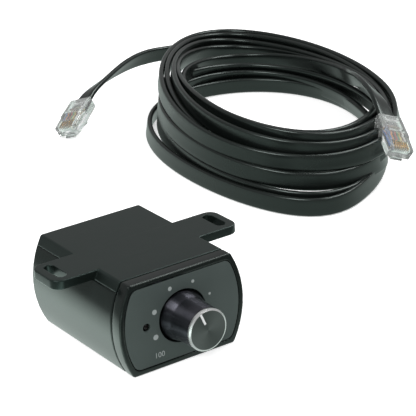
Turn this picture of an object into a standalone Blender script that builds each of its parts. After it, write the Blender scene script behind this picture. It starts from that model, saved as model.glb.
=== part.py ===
"""Trailer brake controller: a small under-dash unit with a push-and-turn knob, and its flat lead.

Frame: metres, +Z up, the unit's fascia faces -Y. The origin is under the centre of the unit,
on the surface that the unit and the coiled lead rest on.
"""

from math import asin, atan2, ceil, cos, pi, radians, sin, sqrt

import bmesh
import bpy
from mathutils import Matrix, Vector

GAP = 0.0003                      # seam between two pieces that touch

# Case
CASE_WIDTH = 0.0440               # across the flat top, corner to corner
CASE_HEIGHT = 0.0360
CASE_DEPTH = 0.0605               # fascia to rear face
SIDE_BULGE = 0.0050               # how far each side bows out past the corners
CORNER_RADIUS = 0.0013
EDGE_RADIUS = 0.0005
WALL = 0.0020
CAP_DEPTH = 0.0052                # visible depth of the front cap
CAP_GROOVE = 0.0006               # shadow line between cap and housing
TONGUE_DEPTH = 0.0042             # how far the cap reaches into the housing
TONGUE_WALL = 0.0015
REAR_COVER_THICKNESS = 0.0022

# Fascia
FASCIA_INSET = 0.0019             # width of the rim around the fascia
FASCIA_GROOVE = 0.0004
FASCIA_THICKNESS = 0.0010
FASCIA_CORNER_RADIUS = 0.0032
FACE_WALL = 0.0020                # cap wall behind the fascia

# Mounting ears
EAR_SPAN = 0.0805                 # tip to tip
EAR_LENGTH = 0.0178               # front to rear
EAR_THICKNESS = 0.00365           # also the depth of the lid's sides
EAR_SETBACK = 0.0285              # ear centre behind the fascia
EAR_CORNER_RADIUS = 0.0040
SLOT_WIDTH = 0.0042
SLOT_LENGTH = 0.0122
SLOT_EDGE = 0.00535               # slot centre in from the ear's tip
SLOT_ROUNDING = 0.999             # keeps the slot's two round ends from touching

# Knob
KNOB_PROTRUSION = 0.01575         # knob face in front of the fascia
KNOB_FACE_RADIUS = 0.0081
KNOB_BODY_RADIUS = 0.0083         # at the top of the skirt
SKIRT_RADIUS = 0.00945
SKIRT_HEIGHT = 0.0042
SKIRT_REACH = 0.0018              # how far the skirt goes into its recess
KNOB_CLEARANCE = 0.00085          # ring around the skirt
KNOB_WALL = 0.0016
KNOB_TOP = 0.0022
HUB_RADIUS = 0.0048
FACE_DISC_THICKNESS = 0.0012
FACE_CHAMFER = 0.0007
FACE_CHAMFER_DEPTH = 0.0004
KNOB_TRAVEL = 0.0015              # push for manual braking

# Control under the knob
SHAFT_RADIUS = 0.0030
SHAFT_FLAT = 0.0015               # depth of the D flat
SHAFT_ENGAGEMENT = 0.0075         # length of shaft inside the knob
SHAFT_CLEARANCE = 0.00015
BUSHING_RADIUS = 0.0045
BUSHING_RISE = 0.0046             # bushing in front of the recess floor
BUSHING_CHAMFER = 0.00045
FLOOR_THICKNESS = 0.0018
RECESS_DEPTH = 0.0060
RECESS_WALL = 0.0015
NUT_FLATS = 0.0120
NUT_THICKNESS = 0.0020
WASHER_RADIUS = 0.0066
WASHER_THICKNESS = 0.0006
CONTROL_SIZE = 0.0125
CONTROL_DEPTH = 0.0072
CONTROL_BACK = 0.0012
PLUNGER_THICKNESS = 0.0014

# Indicator
LED_OFFSET = 0.01565              # beside the knob, at the same height
LED_HOLE_RADIUS = 0.0016
LED_RADIUS = 0.0013
LED_FLANGE_RADIUS = 0.0019
LED_FLANGE_THICKNESS = 0.0010
LED_LENGTH = 0.0045
HOLDER_SIZE = 0.0056
HOLDER_DEPTH = 0.0050

# Board and rear socket
BOARD_THICKNESS = 0.0016
BOARD_WIDTH = 0.0320
BOARD_FRONT_SPACE = 0.0030        # board edge behind the control
POST_RADIUS = 0.0028
POST_SPACING = 0.0200
POST_SETBACK = 0.0110             # board screws behind the board's front edge
SOCKET_WIDTH = 0.0158
SOCKET_HEIGHT = 0.0132
SOCKET_DEPTH = 0.0160
SOCKET_MOUTH_WIDTH = 0.0119
SOCKET_MOUTH_HEIGHT = 0.0084
SOCKET_MOUTH_DEPTH = 0.0130
SOCKET_ROOF = 0.0015               # shell over the mouth
CARRIER_THICKNESS = 0.0010
CARRIER_SETBACK = 0.0020          # contact carrier inside the mouth
SPRING_DROP = 0.00235             # how far the contact springs hang into the mouth
SPRING_ROOT = 0.0010
LATCH_NOTCH_WIDTH = 0.0064
LATCH_NOTCH_HEIGHT = 0.0020
CHIP_SIZE = 0.0070
CHIP_THICKNESS = 0.0012
CAPACITOR_OFFSET = 0.0085
CAPACITOR_RADIUS = 0.0025
CAPACITOR_HEIGHT = 0.0070
CAPACITOR_CORNER = 0.0003

# Fasteners
BOSS_LENGTH = 0.0120
BOSS_BITE = 0.0004                # how far a boss runs into the wall beside it
SCREW_RADIUS = 0.0011
SCREW_LENGTH = 0.0080
SCREW_HEAD_RADIUS = 0.0019
SCREW_SEAT_EDGE = 0.0006          # cover left between a screw's seat and the cover's edge
SCREW_HEAD_HEIGHT = 0.0012
SCREW_SLOT_WIDTH = 0.0005
SCREW_HEAD_CORNER = 0.0005
BOARD_SCREW_LENGTH = 0.0045

# Plugs on the lead, eight-way
PLUG_WIDTH = 0.01168
PLUG_LENGTH = 0.0215
PLUG_HEIGHT = 0.0066
PLUG_NOSE_HEIGHT = 0.0060
PLUG_NOSE_LENGTH = 0.0085
PLUG_TOP_STEP = 0.0005            # nose below the raised rib behind the contacts
PLUG_RIB_LENGTH = 0.0020
PLUG_BELLY_RUN = 0.0010
PLUG_NOSE_CHAMFER = 0.0005
PLUG_EDGE = 0.00025
CORE_WINDOW = (0.0106, 0.0122)    # where the cores are pressed down, from the nose
CORE_WINDOW_WIDTH = 0.0084
CORE_WINDOW_DEPTH = 0.0016
CLAMP_WINDOW = (0.0138, 0.0184)   # where the sheath is clamped
CLAMP_WINDOW_WIDTH = 0.0072
CLAMP_FLOOR_HIGH = 0.0024         # the clamp's flap slopes between these heights
CLAMP_FLOOR_LOW = 0.0019
CORE_CHANNEL_WIDTH = 0.0084
CORE_CHANNEL_HEIGHT = 0.0011
CORE_CHANNEL_START = 0.0018
CONTACT_COUNT = 8
CONTACT_PITCH = 0.00102
CONTACT_THICKNESS = 0.00035       # springs in the socket
BLADE_THICKNESS = 0.00018         # blades in the plugs
CONTACT_LENGTH = 0.0042
CONTACT_SLOT_WIDTH = 0.00068
CONTACT_SLOT_DEPTH = 0.0016
CONTACT_SLOT_LENGTH = 0.0056
LATCH_WIDTH = 0.0060
LATCH_TAIL_WIDTH = 0.0034
LATCH_LENGTH = 0.0150
LATCH_SHOULDER = 0.0062           # wide part of the latch, from its root
LATCH_THICKNESS = 0.0010
LATCH_EDGE = 0.00025
LATCH_ANGLE = radians(13)
CABLE_MOUTH_WIDTH = 0.0090
CABLE_MOUTH_HEIGHT = 0.0032
CABLE_MOUTH_DEPTH = 0.0080

# Lead: flat eight-core cable, coiled on its edge
CABLE_RADIUS = 0.0022             # plain round stand-in for the flat cable
COIL_CENTRE = (0.1545, 0.1455)
COIL_HEADING = radians(76.8)      # direction of the long axis
COIL_HEIGHT = 0.0295
COIL_FOOT_LONG_RADIUS = 0.1010
COIL_FOOT_SHORT_RADIUS = 0.0485
COIL_FOOT_EGG = -0.18             # how much wider the near end is than the far end
COIL_TOP_LONG_RADIUS = 0.0825
COIL_TOP_SHORT_RADIUS = 0.0488
COIL_TOP_EGG = 0.06
COIL_FOOT_THICKNESS = 0.0040
COIL_TOP_THICKNESS = 0.0125
COIL_STEP_LOW = 0.0133             # the inner wall steps in between these heights
COIL_STEP_HIGH = 0.0180

PLUG_A_NOSE = (0.0860, 0.2003, 0.0046)
PLUG_A_LENGTHWISE = (0.777, 0.533, 0.335)
PLUG_A_UP = (-0.444, 0.087, 0.892)
PLUG_B_NOSE = (0.1656, 0.0510, 0.0160)
PLUG_B_LENGTHWISE = (0.361, 0.830, 0.425)
PLUG_B_UP = (0.195, -0.513, 0.836)
TAIL_A_ROUTE = ((0.1125, 0.2168, 0.0138), (0.1235, 0.2250, 0.0142), (0.1370, 0.2328, 0.0150))
TAIL_A_END = (0.1560, 0.2384, 0.0150)
TAIL_B_ROUTE = ((0.1765, 0.0780, 0.0302), (0.1800, 0.0870, 0.0320), (0.1845, 0.0985, 0.0322))
TAIL_B_END = (0.1912, 0.1160, 0.0322)
TAIL_STEP = 0.010                 # spacing of the points along a tail

# Places that follow from the sizes above
FRONT_Y = -(CASE_DEPTH - KNOB_PROTRUSION) / 2
AXIS_Z = CASE_HEIGHT / 2
RECESS_RADIUS = SKIRT_RADIUS + KNOB_CLEARANCE
FASCIA_POCKET = FASCIA_THICKNESS + GAP
CONTROL_FRONT = RECESS_DEPTH + FLOOR_THICKNESS + GAP
BOARD_FRONT = CONTROL_FRONT + CONTROL_DEPTH + BOARD_FRONT_SPACE
BOARD_BACK = CASE_DEPTH - REAR_COVER_THICKNESS - 2 * GAP
BOARD_TOP_Z = AXIS_Z - SOCKET_HEIGHT / 2 - GAP
BOSS_INSET = WALL + 2 * GAP + SCREW_HEAD_RADIUS + SCREW_SEAT_EDGE
BOSS_RADIUS = BOSS_INSET - WALL + BOSS_BITE
LID_SEAM_Z = CASE_HEIGHT - EAR_THICKNESS
BOSS_Z = LID_SEAM_Z - AXIS_Z - 2 * GAP - BOSS_RADIUS
SIDE_RADIUS = (AXIS_Z ** 2 + SIDE_BULGE ** 2) / (2 * SIDE_BULGE)
SIDE_CENTRE_X = CASE_WIDTH / 2 + SIDE_BULGE - SIDE_RADIUS
BOSS_X = SIDE_CENTRE_X + sqrt((SIDE_RADIUS - BOSS_INSET) ** 2 - BOSS_Z ** 2)
PART_NAME = "brake_controller"


def material(name, color, roughness, metallic=0.0, alpha=1.0):
    """One Principled material."""
    made = bpy.data.materials.new(name)
    made.use_nodes = True
    shader = made.node_tree.nodes["Principled BSDF"]
    shader.inputs["Base Color"].default_value = (*color, 1.0)
    shader.inputs["Roughness"].default_value = roughness
    shader.inputs["Metallic"].default_value = metallic
    shader.inputs["Alpha"].default_value = alpha
    return made


def new_collection(name):
    made = bpy.data.collections.new(name)
    bpy.context.scene.collection.children.link(made)
    return made


def add_object(name, data, collection):
    """An object in one collection."""
    made = bpy.data.objects.new(name, data)
    collection.objects.link(made)
    return made


def settle(obj):
    """Replace an object's modifiers by their result."""
    graph = bpy.context.evaluated_depsgraph_get()
    mesh = bpy.data.meshes.new_from_object(obj.evaluated_get(graph))
    obj.modifiers.clear()
    obj.data = mesh
    return obj


def combine(obj, operation, other):
    """Join a piece with another shape or cut it away, and drop the other shape."""
    step = obj.modifiers.new(operation.title(), "BOOLEAN")
    step.operation = operation
    step.solver = "EXACT"
    step.object = other
    settle(obj)
    bpy.data.objects.remove(other)
    return obj


def cut(obj, *tools):
    for tool in tools:
        combine(obj, "DIFFERENCE", tool)
    return obj


def join(obj, *others):
    for other in others:
        combine(obj, "UNION", other)
    return obj


def round_edges(obj, width, segments=2, angle=50):
    step = obj.modifiers.new("Round edges", "BEVEL")
    step.width = width
    step.segments = segments
    step.limit_method = "ANGLE"
    step.angle_limit = radians(angle)
    return settle(obj)


def outline_solid(outline, thickness, matrix, collection, name="Outline"):
    """A flat outline made as thick as asked, centred on its own plane and then placed."""
    curve = bpy.data.curves.new(name, "CURVE")
    curve.dimensions = "2D"
    curve.fill_mode = "BOTH"
    curve.extrude = thickness / 2
    spline = curve.splines.new("POLY")
    spline.points.add(len(outline) - 1)
    for point, (across, along) in zip(spline.points, outline):
        point.co = (across, along, 0.0, 1.0)
    spline.use_cyclic_u = True
    flat = add_object(name, curve, collection)
    graph = bpy.context.evaluated_depsgraph_get()
    mesh = bpy.data.meshes.new_from_object(flat.evaluated_get(graph))
    bpy.data.objects.remove(flat)
    shape = bmesh.new()
    shape.from_mesh(mesh)
    bmesh.ops.remove_doubles(shape, verts=shape.verts, dist=1e-7)
    bmesh.ops.dissolve_limit(shape, angle_limit=radians(0.5), verts=shape.verts, edges=shape.edges)
    bmesh.ops.recalc_face_normals(shape, faces=shape.faces)
    shape.to_mesh(mesh)
    shape.free()
    mesh.transform(matrix)
    return add_object(name, mesh, collection)


def section_solid(outline, front, back, collection):
    """An outline seen from the front, (x, z), running between two depths behind the fascia."""
    middle = Vector((0.0, FRONT_Y + (front + back) / 2, 0.0))
    matrix = Matrix.Translation(middle) @ Matrix.Rotation(pi / 2, 4, "X")
    return outline_solid(outline, back - front, matrix, collection)


def plan_solid(outline, low, high, collection):
    """An outline seen from above, (x, y), running between two heights."""
    matrix = Matrix.Translation((0.0, 0.0, (low + high) / 2))
    return outline_solid(outline, high - low, matrix, collection)


def box(low, high, collection):
    """A box between two corners."""
    mesh = bpy.data.meshes.new("Box")
    shape = bmesh.new()
    bmesh.ops.create_cube(shape, size=1.0)
    size = [high[i] - low[i] for i in range(3)]
    middle = [(high[i] + low[i]) / 2 for i in range(3)]
    bmesh.ops.scale(shape, vec=size, verts=shape.verts)
    bmesh.ops.translate(shape, vec=middle, verts=shape.verts)
    shape.to_mesh(mesh)
    shape.free()
    return add_object("Box", mesh, collection)


def cylinder(radius, length, matrix, collection, segments=32, top_radius=None):
    """A cylinder or cone along its own Z, centred, then placed."""
    mesh = bpy.data.meshes.new("Cylinder")
    shape = bmesh.new()
    bmesh.ops.create_cone(
        shape,
        cap_ends=True,
        segments=segments,
        radius1=radius,
        radius2=radius if top_radius is None else top_radius,
        depth=length,
        matrix=matrix,
    )
    shape.to_mesh(mesh)
    shape.free()
    return add_object("Cylinder", mesh, collection)


def bore(radius, front, back, x, z, collection, segments=32):
    """A cylinder along the knob's direction, between two depths behind the fascia."""
    place = Matrix.Translation((x, FRONT_Y + (front + back) / 2, z))
    return cylinder(radius, back - front, place @ Matrix.Rotation(pi / 2, 4, "X"), collection, segments)


def turned(profile, matrix, collection, segments=40):
    """A closed profile of (radius, height) turned about its own Z, then placed."""
    mesh = bpy.data.meshes.new("Turned")
    shape = bmesh.new()
    corners = [shape.verts.new((radius, 0.0, height)) for radius, height in profile]
    for index, corner in enumerate(corners):
        shape.edges.new((corner, corners[(index + 1) % len(corners)]))
    shape.to_mesh(mesh)
    shape.free()
    obj = add_object("Turned", mesh, collection)
    lathe = obj.modifiers.new("Lathe", "SCREW")
    lathe.steps = segments
    lathe.render_steps = segments
    lathe.use_merge_vertices = True
    lathe.merge_threshold = 1e-6
    settle(obj)
    shape = bmesh.new()
    shape.from_mesh(obj.data)
    bmesh.ops.remove_doubles(shape, verts=shape.verts, dist=1e-7)
    bmesh.ops.recalc_face_normals(shape, faces=shape.faces)
    shape.to_mesh(obj.data)
    shape.free()
    obj.data.transform(matrix)
    return obj


def knob_axis():
    """The knob's axis: heights run forwards from the fascia."""
    return Matrix.Translation((0.0, FRONT_Y, AXIS_Z)) @ Matrix.Rotation(pi / 2, 4, "X")


def arc(centre, radius, start, stop, steps):
    """Points on an arc, both ends included."""
    angles = [start + (stop - start) * i / steps for i in range(steps + 1)]
    return [(centre[0] + radius * cos(a), centre[1] + radius * sin(a)) for a in angles]


def case_outline(inset=0.0, corner=None, side_steps=10, corner_steps=3):
    """Front view of the case: flat top and bottom, bowed sides, rounded corners."""
    radius = max(CORNER_RADIUS - inset, GAP) if corner is None else corner
    reach = SIDE_RADIUS - inset
    corner_z = CASE_HEIGHT / 2 - inset - radius
    corner_x = SIDE_CENTRE_X + sqrt((reach - radius) ** 2 - corner_z ** 2)
    slope = asin(corner_z / (reach - radius))
    quarter = arc((SIDE_CENTRE_X, 0.0), reach, 0.0, slope, side_steps // 2)
    quarter += arc((corner_x, corner_z), radius, slope, pi / 2, corner_steps)[1:]
    upper = quarter + [(-x, z) for x, z in reversed(quarter)]
    lower = [(-x, -z) for x, z in upper]
    return [(x, z + AXIS_Z) for x, z in upper + lower[1:-1]]


def rounded_rectangle(width, height, radius, steps=4):
    """Outline centred on the origin."""
    points = []
    for turn, (sx, sy) in enumerate(((1, 1), (-1, 1), (-1, -1), (1, -1))):
        centre = (sx * (width / 2 - radius), sy * (height / 2 - radius))
        points += arc(centre, radius, turn * pi / 2, (turn + 1) * pi / 2, steps)
    return points


def polygon(sides, radius, start=0.0):
    angles = [start + 2 * pi * i / sides for i in range(sides)]
    return [(radius * cos(a), radius * sin(a)) for a in angles]


def shifted(outline, dx, dy):
    return [(x + dx, y + dy) for x, y in outline]


def cover_screw_places():
    return [(sx * BOSS_X, AXIS_Z + sz * BOSS_Z) for sz in (1, -1) for sx in (-1, 1)]


def board_screw_places():
    y = FRONT_Y + BOARD_FRONT + POST_SETBACK
    return [(side * POST_SPACING / 2, y) for side in (-1, 1)]


def ear_slots(collection):
    """Cutters for the two slots that take the mounting screws."""
    slot = rounded_rectangle(SLOT_WIDTH, SLOT_LENGTH, SLOT_WIDTH / 2 * SLOT_ROUNDING, steps=6)
    low = CASE_HEIGHT - 2 * EAR_THICKNESS
    high = CASE_HEIGHT + EAR_THICKNESS
    x = EAR_SPAN / 2 - SLOT_EDGE
    y = FRONT_Y + EAR_SETBACK
    return [plan_solid(shifted(slot, side * x, y), low, high, collection) for side in (-1, 1)]


def make_sleeve(collection, ears=False):
    """Outer shape of the case behind its cap, as lid and housing share it, hollowed out."""
    front = CAP_DEPTH + CAP_GROOVE
    sleeve = round_edges(section_solid(case_outline(), front, CASE_DEPTH, collection), EDGE_RADIUS)
    if ears:
        plan = shifted(rounded_rectangle(EAR_SPAN, EAR_LENGTH, EAR_CORNER_RADIUS), 0.0, FRONT_Y + EAR_SETBACK)
        join(sleeve, round_edges(plan_solid(plan, LID_SEAM_Z, CASE_HEIGHT, collection), EDGE_RADIUS))
    return cut(sleeve, section_solid(case_outline(WALL), front - GAP, CASE_DEPTH + GAP, collection))


def half_space(low, high, collection):
    """A box wider and longer than the unit, between two heights."""
    reach = EAR_SPAN + CASE_DEPTH
    return box((-reach, -reach, low), (reach, reach, high), collection)


def make_housing(parts, tools, finish):
    """Lower shell with bowed sides, screw bosses at the rear and two posts for the board."""
    housing = make_sleeve(parts)
    bosses_front = CASE_DEPTH - REAR_COVER_THICKNESS - GAP - BOSS_LENGTH
    for x, z in cover_screw_places():
        join(housing, bore(BOSS_RADIUS, bosses_front, bosses_front + BOSS_LENGTH, x, z, tools, 16))
    for x, y in board_screw_places():
        low = WALL - BOSS_BITE
        high = BOARD_TOP_Z - BOARD_THICKNESS - GAP
        place = Matrix.Translation((x, y, (low + high) / 2))
        join(housing, cylinder(POST_RADIUS, high - low, place, tools, 16))
    cut(housing, half_space(LID_SEAM_Z - GAP, 2 * CASE_HEIGHT, tools))
    pilot = SCREW_RADIUS + GAP
    pilot_front = CASE_DEPTH - REAR_COVER_THICKNESS + SCREW_HEAD_HEIGHT - SCREW_LENGTH - 2 * GAP
    for x, z in cover_screw_places():
        cut(housing, bore(pilot, pilot_front - GAP, CASE_DEPTH, x, z, tools, 12))
    for x, y in board_screw_places():
        place = Matrix.Translation((x, y, BOARD_TOP_Z - BOARD_SCREW_LENGTH / 2))
        cut(housing, cylinder(pilot, BOARD_SCREW_LENGTH + GAP, place, tools, 12))
    return finished(housing, "housing", finish)


def make_top_cover(parts, tools, finish):
    """Lid with two slotted ears level with its top."""
    lid = make_sleeve(parts, ears=True)
    cut(lid, half_space(-CASE_HEIGHT, LID_SEAM_Z, tools), *ear_slots(tools))
    return finished(lid, "top_cover", finish)


def finished(obj, name, finish):
    """Give a built piece its name and its material."""
    obj.name = name
    obj.data.name = name
    obj.data.materials.clear()
    obj.data.materials.append(finish)
    obj.data.shade_smooth()
    obj.data.set_sharp_from_angle(angle=radians(35))
    return obj


def make_front_cap(parts, tools, finish):
    """Front cap: rim, pocket for the fascia, knob recess and a tongue into the housing."""
    cap = section_solid(case_outline(), 0.0, CAP_DEPTH, parts)
    round_edges(cap, EDGE_RADIUS)
    tongue_end = CAP_DEPTH + CAP_GROOVE + TONGUE_DEPTH
    join(cap, section_solid(case_outline(WALL + GAP), CAP_DEPTH - GAP, tongue_end, tools))
    hollow_front = FASCIA_POCKET + FACE_WALL
    hollow = case_outline(WALL + GAP + TONGUE_WALL)
    cut(cap, section_solid(hollow, hollow_front, tongue_end + GAP, tools))
    cup_back = RECESS_DEPTH + FLOOR_THICKNESS
    join(cap, bore(RECESS_RADIUS + RECESS_WALL, hollow_front - GAP, cup_back, 0.0, AXIS_Z, tools, 40))
    pocket = case_outline(FASCIA_INSET, FASCIA_CORNER_RADIUS + FASCIA_GROOVE)
    cut(
        cap,
        section_solid(pocket, -GAP, FASCIA_POCKET, tools),
        bore(RECESS_RADIUS, -GAP, RECESS_DEPTH, 0.0, AXIS_Z, tools, 40),
        bore(BUSHING_RADIUS + GAP, 0.0, cup_back + GAP, 0.0, AXIS_Z, tools, 24),
        bore(LED_HOLE_RADIUS, -GAP, hollow_front + GAP, -LED_OFFSET, AXIS_Z, tools, 24),
    )
    return finished(cap, "front_cap", finish)


def make_fascia(parts, tools, finish):
    """Matt plate around the knob."""
    outline = case_outline(FASCIA_INSET + FASCIA_GROOVE, FASCIA_CORNER_RADIUS)
    fascia = section_solid(outline, 0.0, FASCIA_THICKNESS, parts)
    cut(
        fascia,
        bore(RECESS_RADIUS, -GAP, FASCIA_POCKET, 0.0, AXIS_Z, tools, 40),
        bore(LED_HOLE_RADIUS, -GAP, FASCIA_POCKET, -LED_OFFSET, AXIS_Z, tools, 24),
    )
    return finished(fascia, "fascia_plate", finish)


def make_rear_cover(parts, tools, finish):
    """Plate that closes the housing, with sunk screw seats and the socket's opening."""
    front = CASE_DEPTH - REAR_COVER_THICKNESS
    cover = section_solid(case_outline(WALL + GAP), front, CASE_DEPTH, parts)
    half_width = SOCKET_WIDTH / 2 + GAP
    half_height = SOCKET_HEIGHT / 2 + GAP
    cut(
        cover,
        box(
            (-half_width, FRONT_Y + front - GAP, AXIS_Z - half_height),
            (half_width, FRONT_Y + CASE_DEPTH + GAP, AXIS_Z + half_height),
            tools,
        ),
    )
    seat = CASE_DEPTH - SCREW_HEAD_HEIGHT - GAP
    for x, z in cover_screw_places():
        cut(
            cover,
            bore(SCREW_RADIUS + GAP, front - GAP, CASE_DEPTH, x, z, tools, 12),
            bore(SCREW_HEAD_RADIUS + GAP, seat, CASE_DEPTH + GAP, x, z, tools, 16),
        )
    return finished(cover, "rear_cover", finish)


def screw(name, shank_length, matrix, parts, tools, finish):
    """Slotted pan-head screw: its head is on the local +Z side, its seat at the local origin."""
    profile = [
        (0.0, SCREW_HEAD_HEIGHT),
        (SCREW_HEAD_RADIUS - SCREW_HEAD_CORNER, SCREW_HEAD_HEIGHT),
        (SCREW_HEAD_RADIUS, SCREW_HEAD_HEIGHT - SCREW_HEAD_CORNER),
        (SCREW_HEAD_RADIUS, 0.0),
        (SCREW_RADIUS, 0.0),
        (SCREW_RADIUS, SCREW_RADIUS - shank_length),
        (0.0, -shank_length),
    ]
    piece = turned(profile, Matrix.Identity(4), parts, 16)
    slot = SCREW_HEAD_RADIUS + GAP
    cut(
        piece,
        box(
            (-slot, -SCREW_SLOT_WIDTH / 2, SCREW_HEAD_HEIGHT / 2),
            (slot, SCREW_SLOT_WIDTH / 2, SCREW_HEAD_HEIGHT * 2),
            tools,
        ),
    )
    piece.data.transform(matrix)
    return finished(piece, name, finish)


def make_cover_screws(parts, tools, finish):
    seat_y = FRONT_Y + CASE_DEPTH - SCREW_HEAD_HEIGHT
    for number, (x, z) in enumerate(cover_screw_places(), 1):
        place = Matrix.Translation((x, seat_y, z)) @ Matrix.Rotation(-pi / 2, 4, "X")
        screw(f"cover_screw_{number}", SCREW_LENGTH - SCREW_HEAD_HEIGHT, place, parts, tools, finish)


def hang_on(pivot, *pieces):
    """Parent pieces to an empty without moving them."""
    for piece in pieces:
        piece.parent = pivot
        piece.matrix_parent_inverse = pivot.matrix_basis.inverted()


def make_pivot(name, place, collection):
    pivot = bpy.data.objects.new(name, None)
    pivot.matrix_basis = place
    collection.objects.link(pivot)
    return pivot


def make_knob(parts, tools, finish):
    """Skirted knob, hollow behind, with a D-bored hub."""
    face = KNOB_PROTRUSION - FACE_DISC_THICKNESS - GAP
    inside = face - KNOB_TOP
    cavity_radius = KNOB_BODY_RADIUS - KNOB_WALL
    hub_end = inside + GAP - SHAFT_ENGAGEMENT
    profile = [
        (0.0, face),
        (KNOB_FACE_RADIUS, face),
        (KNOB_BODY_RADIUS, SKIRT_HEIGHT + EDGE_RADIUS),
        (KNOB_BODY_RADIUS + EDGE_RADIUS / 2, SKIRT_HEIGHT),
        (SKIRT_RADIUS, 0.0),
        (SKIRT_RADIUS, -SKIRT_REACH),
        (SKIRT_RADIUS - KNOB_WALL, -SKIRT_REACH),
        (SKIRT_RADIUS - KNOB_WALL, 0.0),
        (cavity_radius, SKIRT_HEIGHT),
        (cavity_radius, inside),
        (HUB_RADIUS, inside),
        (HUB_RADIUS, hub_end),
        (0.0, hub_end),
    ]
    knob = turned(profile, knob_axis(), parts, 48)
    cut(knob, shaft_shape(GAP, hub_end - GAP, inside + GAP, tools))
    return finished(knob, "control_knob", finish)


def shaft_shape(growth, low, high, collection):
    """D-shaped shaft: heights run forwards from the fascia."""
    radius = SHAFT_RADIUS + growth
    flat = SHAFT_RADIUS - SHAFT_FLAT + growth
    turn = asin(flat / radius)
    outline = arc((0.0, 0.0), radius, pi - turn, 2 * pi + turn, 20)
    outline = shifted(outline, 0.0, AXIS_Z)
    return section_solid(outline, -high, -low, collection)


def make_face_disc(parts, finish):
    """Aluminium disc on the knob's face, with a bright chamfer around its edge."""
    face = KNOB_PROTRUSION
    profile = [
        (0.0, face),
        (KNOB_FACE_RADIUS - FACE_CHAMFER, face),
        (KNOB_FACE_RADIUS, face - FACE_CHAMFER_DEPTH),
        (KNOB_FACE_RADIUS, face - FACE_DISC_THICKNESS),
        (0.0, face - FACE_DISC_THICKNESS),
    ]
    return finished(turned(profile, knob_axis(), parts, 48), "knob_face_disc", finish)


def make_shaft(parts, tools, finish):
    """Control shaft: D-shaped in the knob, round in its bushing."""
    top = KNOB_PROTRUSION - FACE_DISC_THICKNESS - KNOB_TOP - 2 * GAP
    shoulder = top - SHAFT_ENGAGEMENT
    back = -(CONTROL_FRONT + CONTROL_DEPTH - CONTROL_BACK - KNOB_TRAVEL - PLUNGER_THICKNESS - 2 * GAP)
    shaft = shaft_shape(0.0, shoulder - GAP, top, parts)
    join(shaft, bore(SHAFT_RADIUS, -shoulder, -back, 0.0, AXIS_Z, tools, 32))
    return finished(shaft, "control_shaft", finish)


def make_bushing(parts, finish):
    """Threaded sleeve that carries the shaft, with a thin flange on the control."""
    tip = BUSHING_RISE - RECESS_DEPTH
    foot = -(CONTROL_FRONT - GAP)
    inner = SHAFT_RADIUS + SHAFT_CLEARANCE
    profile = [
        (inner, tip),
        (BUSHING_RADIUS - BUSHING_CHAMFER, tip),
        (BUSHING_RADIUS, tip - BUSHING_CHAMFER),
        (BUSHING_RADIUS, foot),
        (inner, foot),
    ]
    return finished(turned(profile, knob_axis(), parts, 32), "control_bushing", finish)


def make_nut_and_washer(parts, tools, nut_finish, washer_finish):
    """Hexagon nut and washer that clamp the control to the recess floor."""
    seat = RECESS_DEPTH - GAP
    washer = bore(WASHER_RADIUS, seat - WASHER_THICKNESS, seat, 0.0, AXIS_Z, parts, 32)
    cut(washer, bore(BUSHING_RADIUS + GAP, 0.0, RECESS_DEPTH, 0.0, AXIS_Z, tools, 24))
    finished(washer, "control_washer", washer_finish)
    nut_back = seat - WASHER_THICKNESS - GAP
    hexagon = shifted(polygon(6, NUT_FLATS / sqrt(3)), 0.0, AXIS_Z)
    nut = section_solid(hexagon, nut_back - NUT_THICKNESS, nut_back, parts)
    cut(nut, bore(BUSHING_RADIUS + GAP, -GAP, RECESS_DEPTH, 0.0, AXIS_Z, tools, 24))
    finished(nut, "control_nut", nut_finish)


def make_control_body(parts, tools, finish):
    """Square body of the rotary control, bored for the shaft and the push switch."""
    half = CONTROL_SIZE / 2
    back = CONTROL_FRONT + CONTROL_DEPTH
    body = box(
        (-half, FRONT_Y + CONTROL_FRONT, AXIS_Z - half),
        (half, FRONT_Y + back, AXIS_Z + half),
        parts,
    )
    round_edges(body, EDGE_RADIUS, segments=1)
    cut(body, bore(SHAFT_RADIUS + GAP, 0.0, back - CONTROL_BACK, 0.0, AXIS_Z, tools, 32))
    return finished(body, "control_body", finish)


def make_switch_plunger(parts, finish):
    """Disc behind the shaft that works the push switch."""
    back = CONTROL_FRONT + CONTROL_DEPTH - CONTROL_BACK - KNOB_TRAVEL - GAP
    plunger = bore(SHAFT_RADIUS, back - PLUNGER_THICKNESS, back, 0.0, AXIS_Z, parts, 32)
    return finished(plunger, "switch_plunger", finish)


def make_indicator(parts, tools, led_finish, holder_finish):
    """Indicator lamp behind the hole beside the knob, in its holder."""
    seat = FASCIA_POCKET + FACE_WALL + GAP
    place = Matrix.Translation((-LED_OFFSET, 0.0, 0.0)) @ knob_axis()
    tip = seat + LED_FLANGE_THICKNESS - LED_LENGTH
    dome = [
        (LED_RADIUS * sin(i * pi / 8), -(tip + LED_RADIUS * (1 - cos(i * pi / 8))))
        for i in range(5)
    ]
    profile = dome + [
        (LED_RADIUS, -seat),
        (LED_FLANGE_RADIUS, -seat),
        (LED_FLANGE_RADIUS, -(seat + LED_FLANGE_THICKNESS)),
        (0.0, -(seat + LED_FLANGE_THICKNESS)),
    ]
    finished(turned(profile, place, parts, 24), "indicator_led", led_finish)
    half = HOLDER_SIZE / 2
    holder = box(
        (-LED_OFFSET - half, FRONT_Y + seat, AXIS_Z - half),
        (-LED_OFFSET + half, FRONT_Y + seat + HOLDER_DEPTH, AXIS_Z + half),
        parts,
    )
    pocket = seat + LED_FLANGE_THICKNESS + GAP
    cut(holder, bore(LED_FLANGE_RADIUS + GAP, 0.0, pocket, -LED_OFFSET, AXIS_Z, tools, 24))
    finished(holder, "led_holder", holder_finish)


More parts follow.
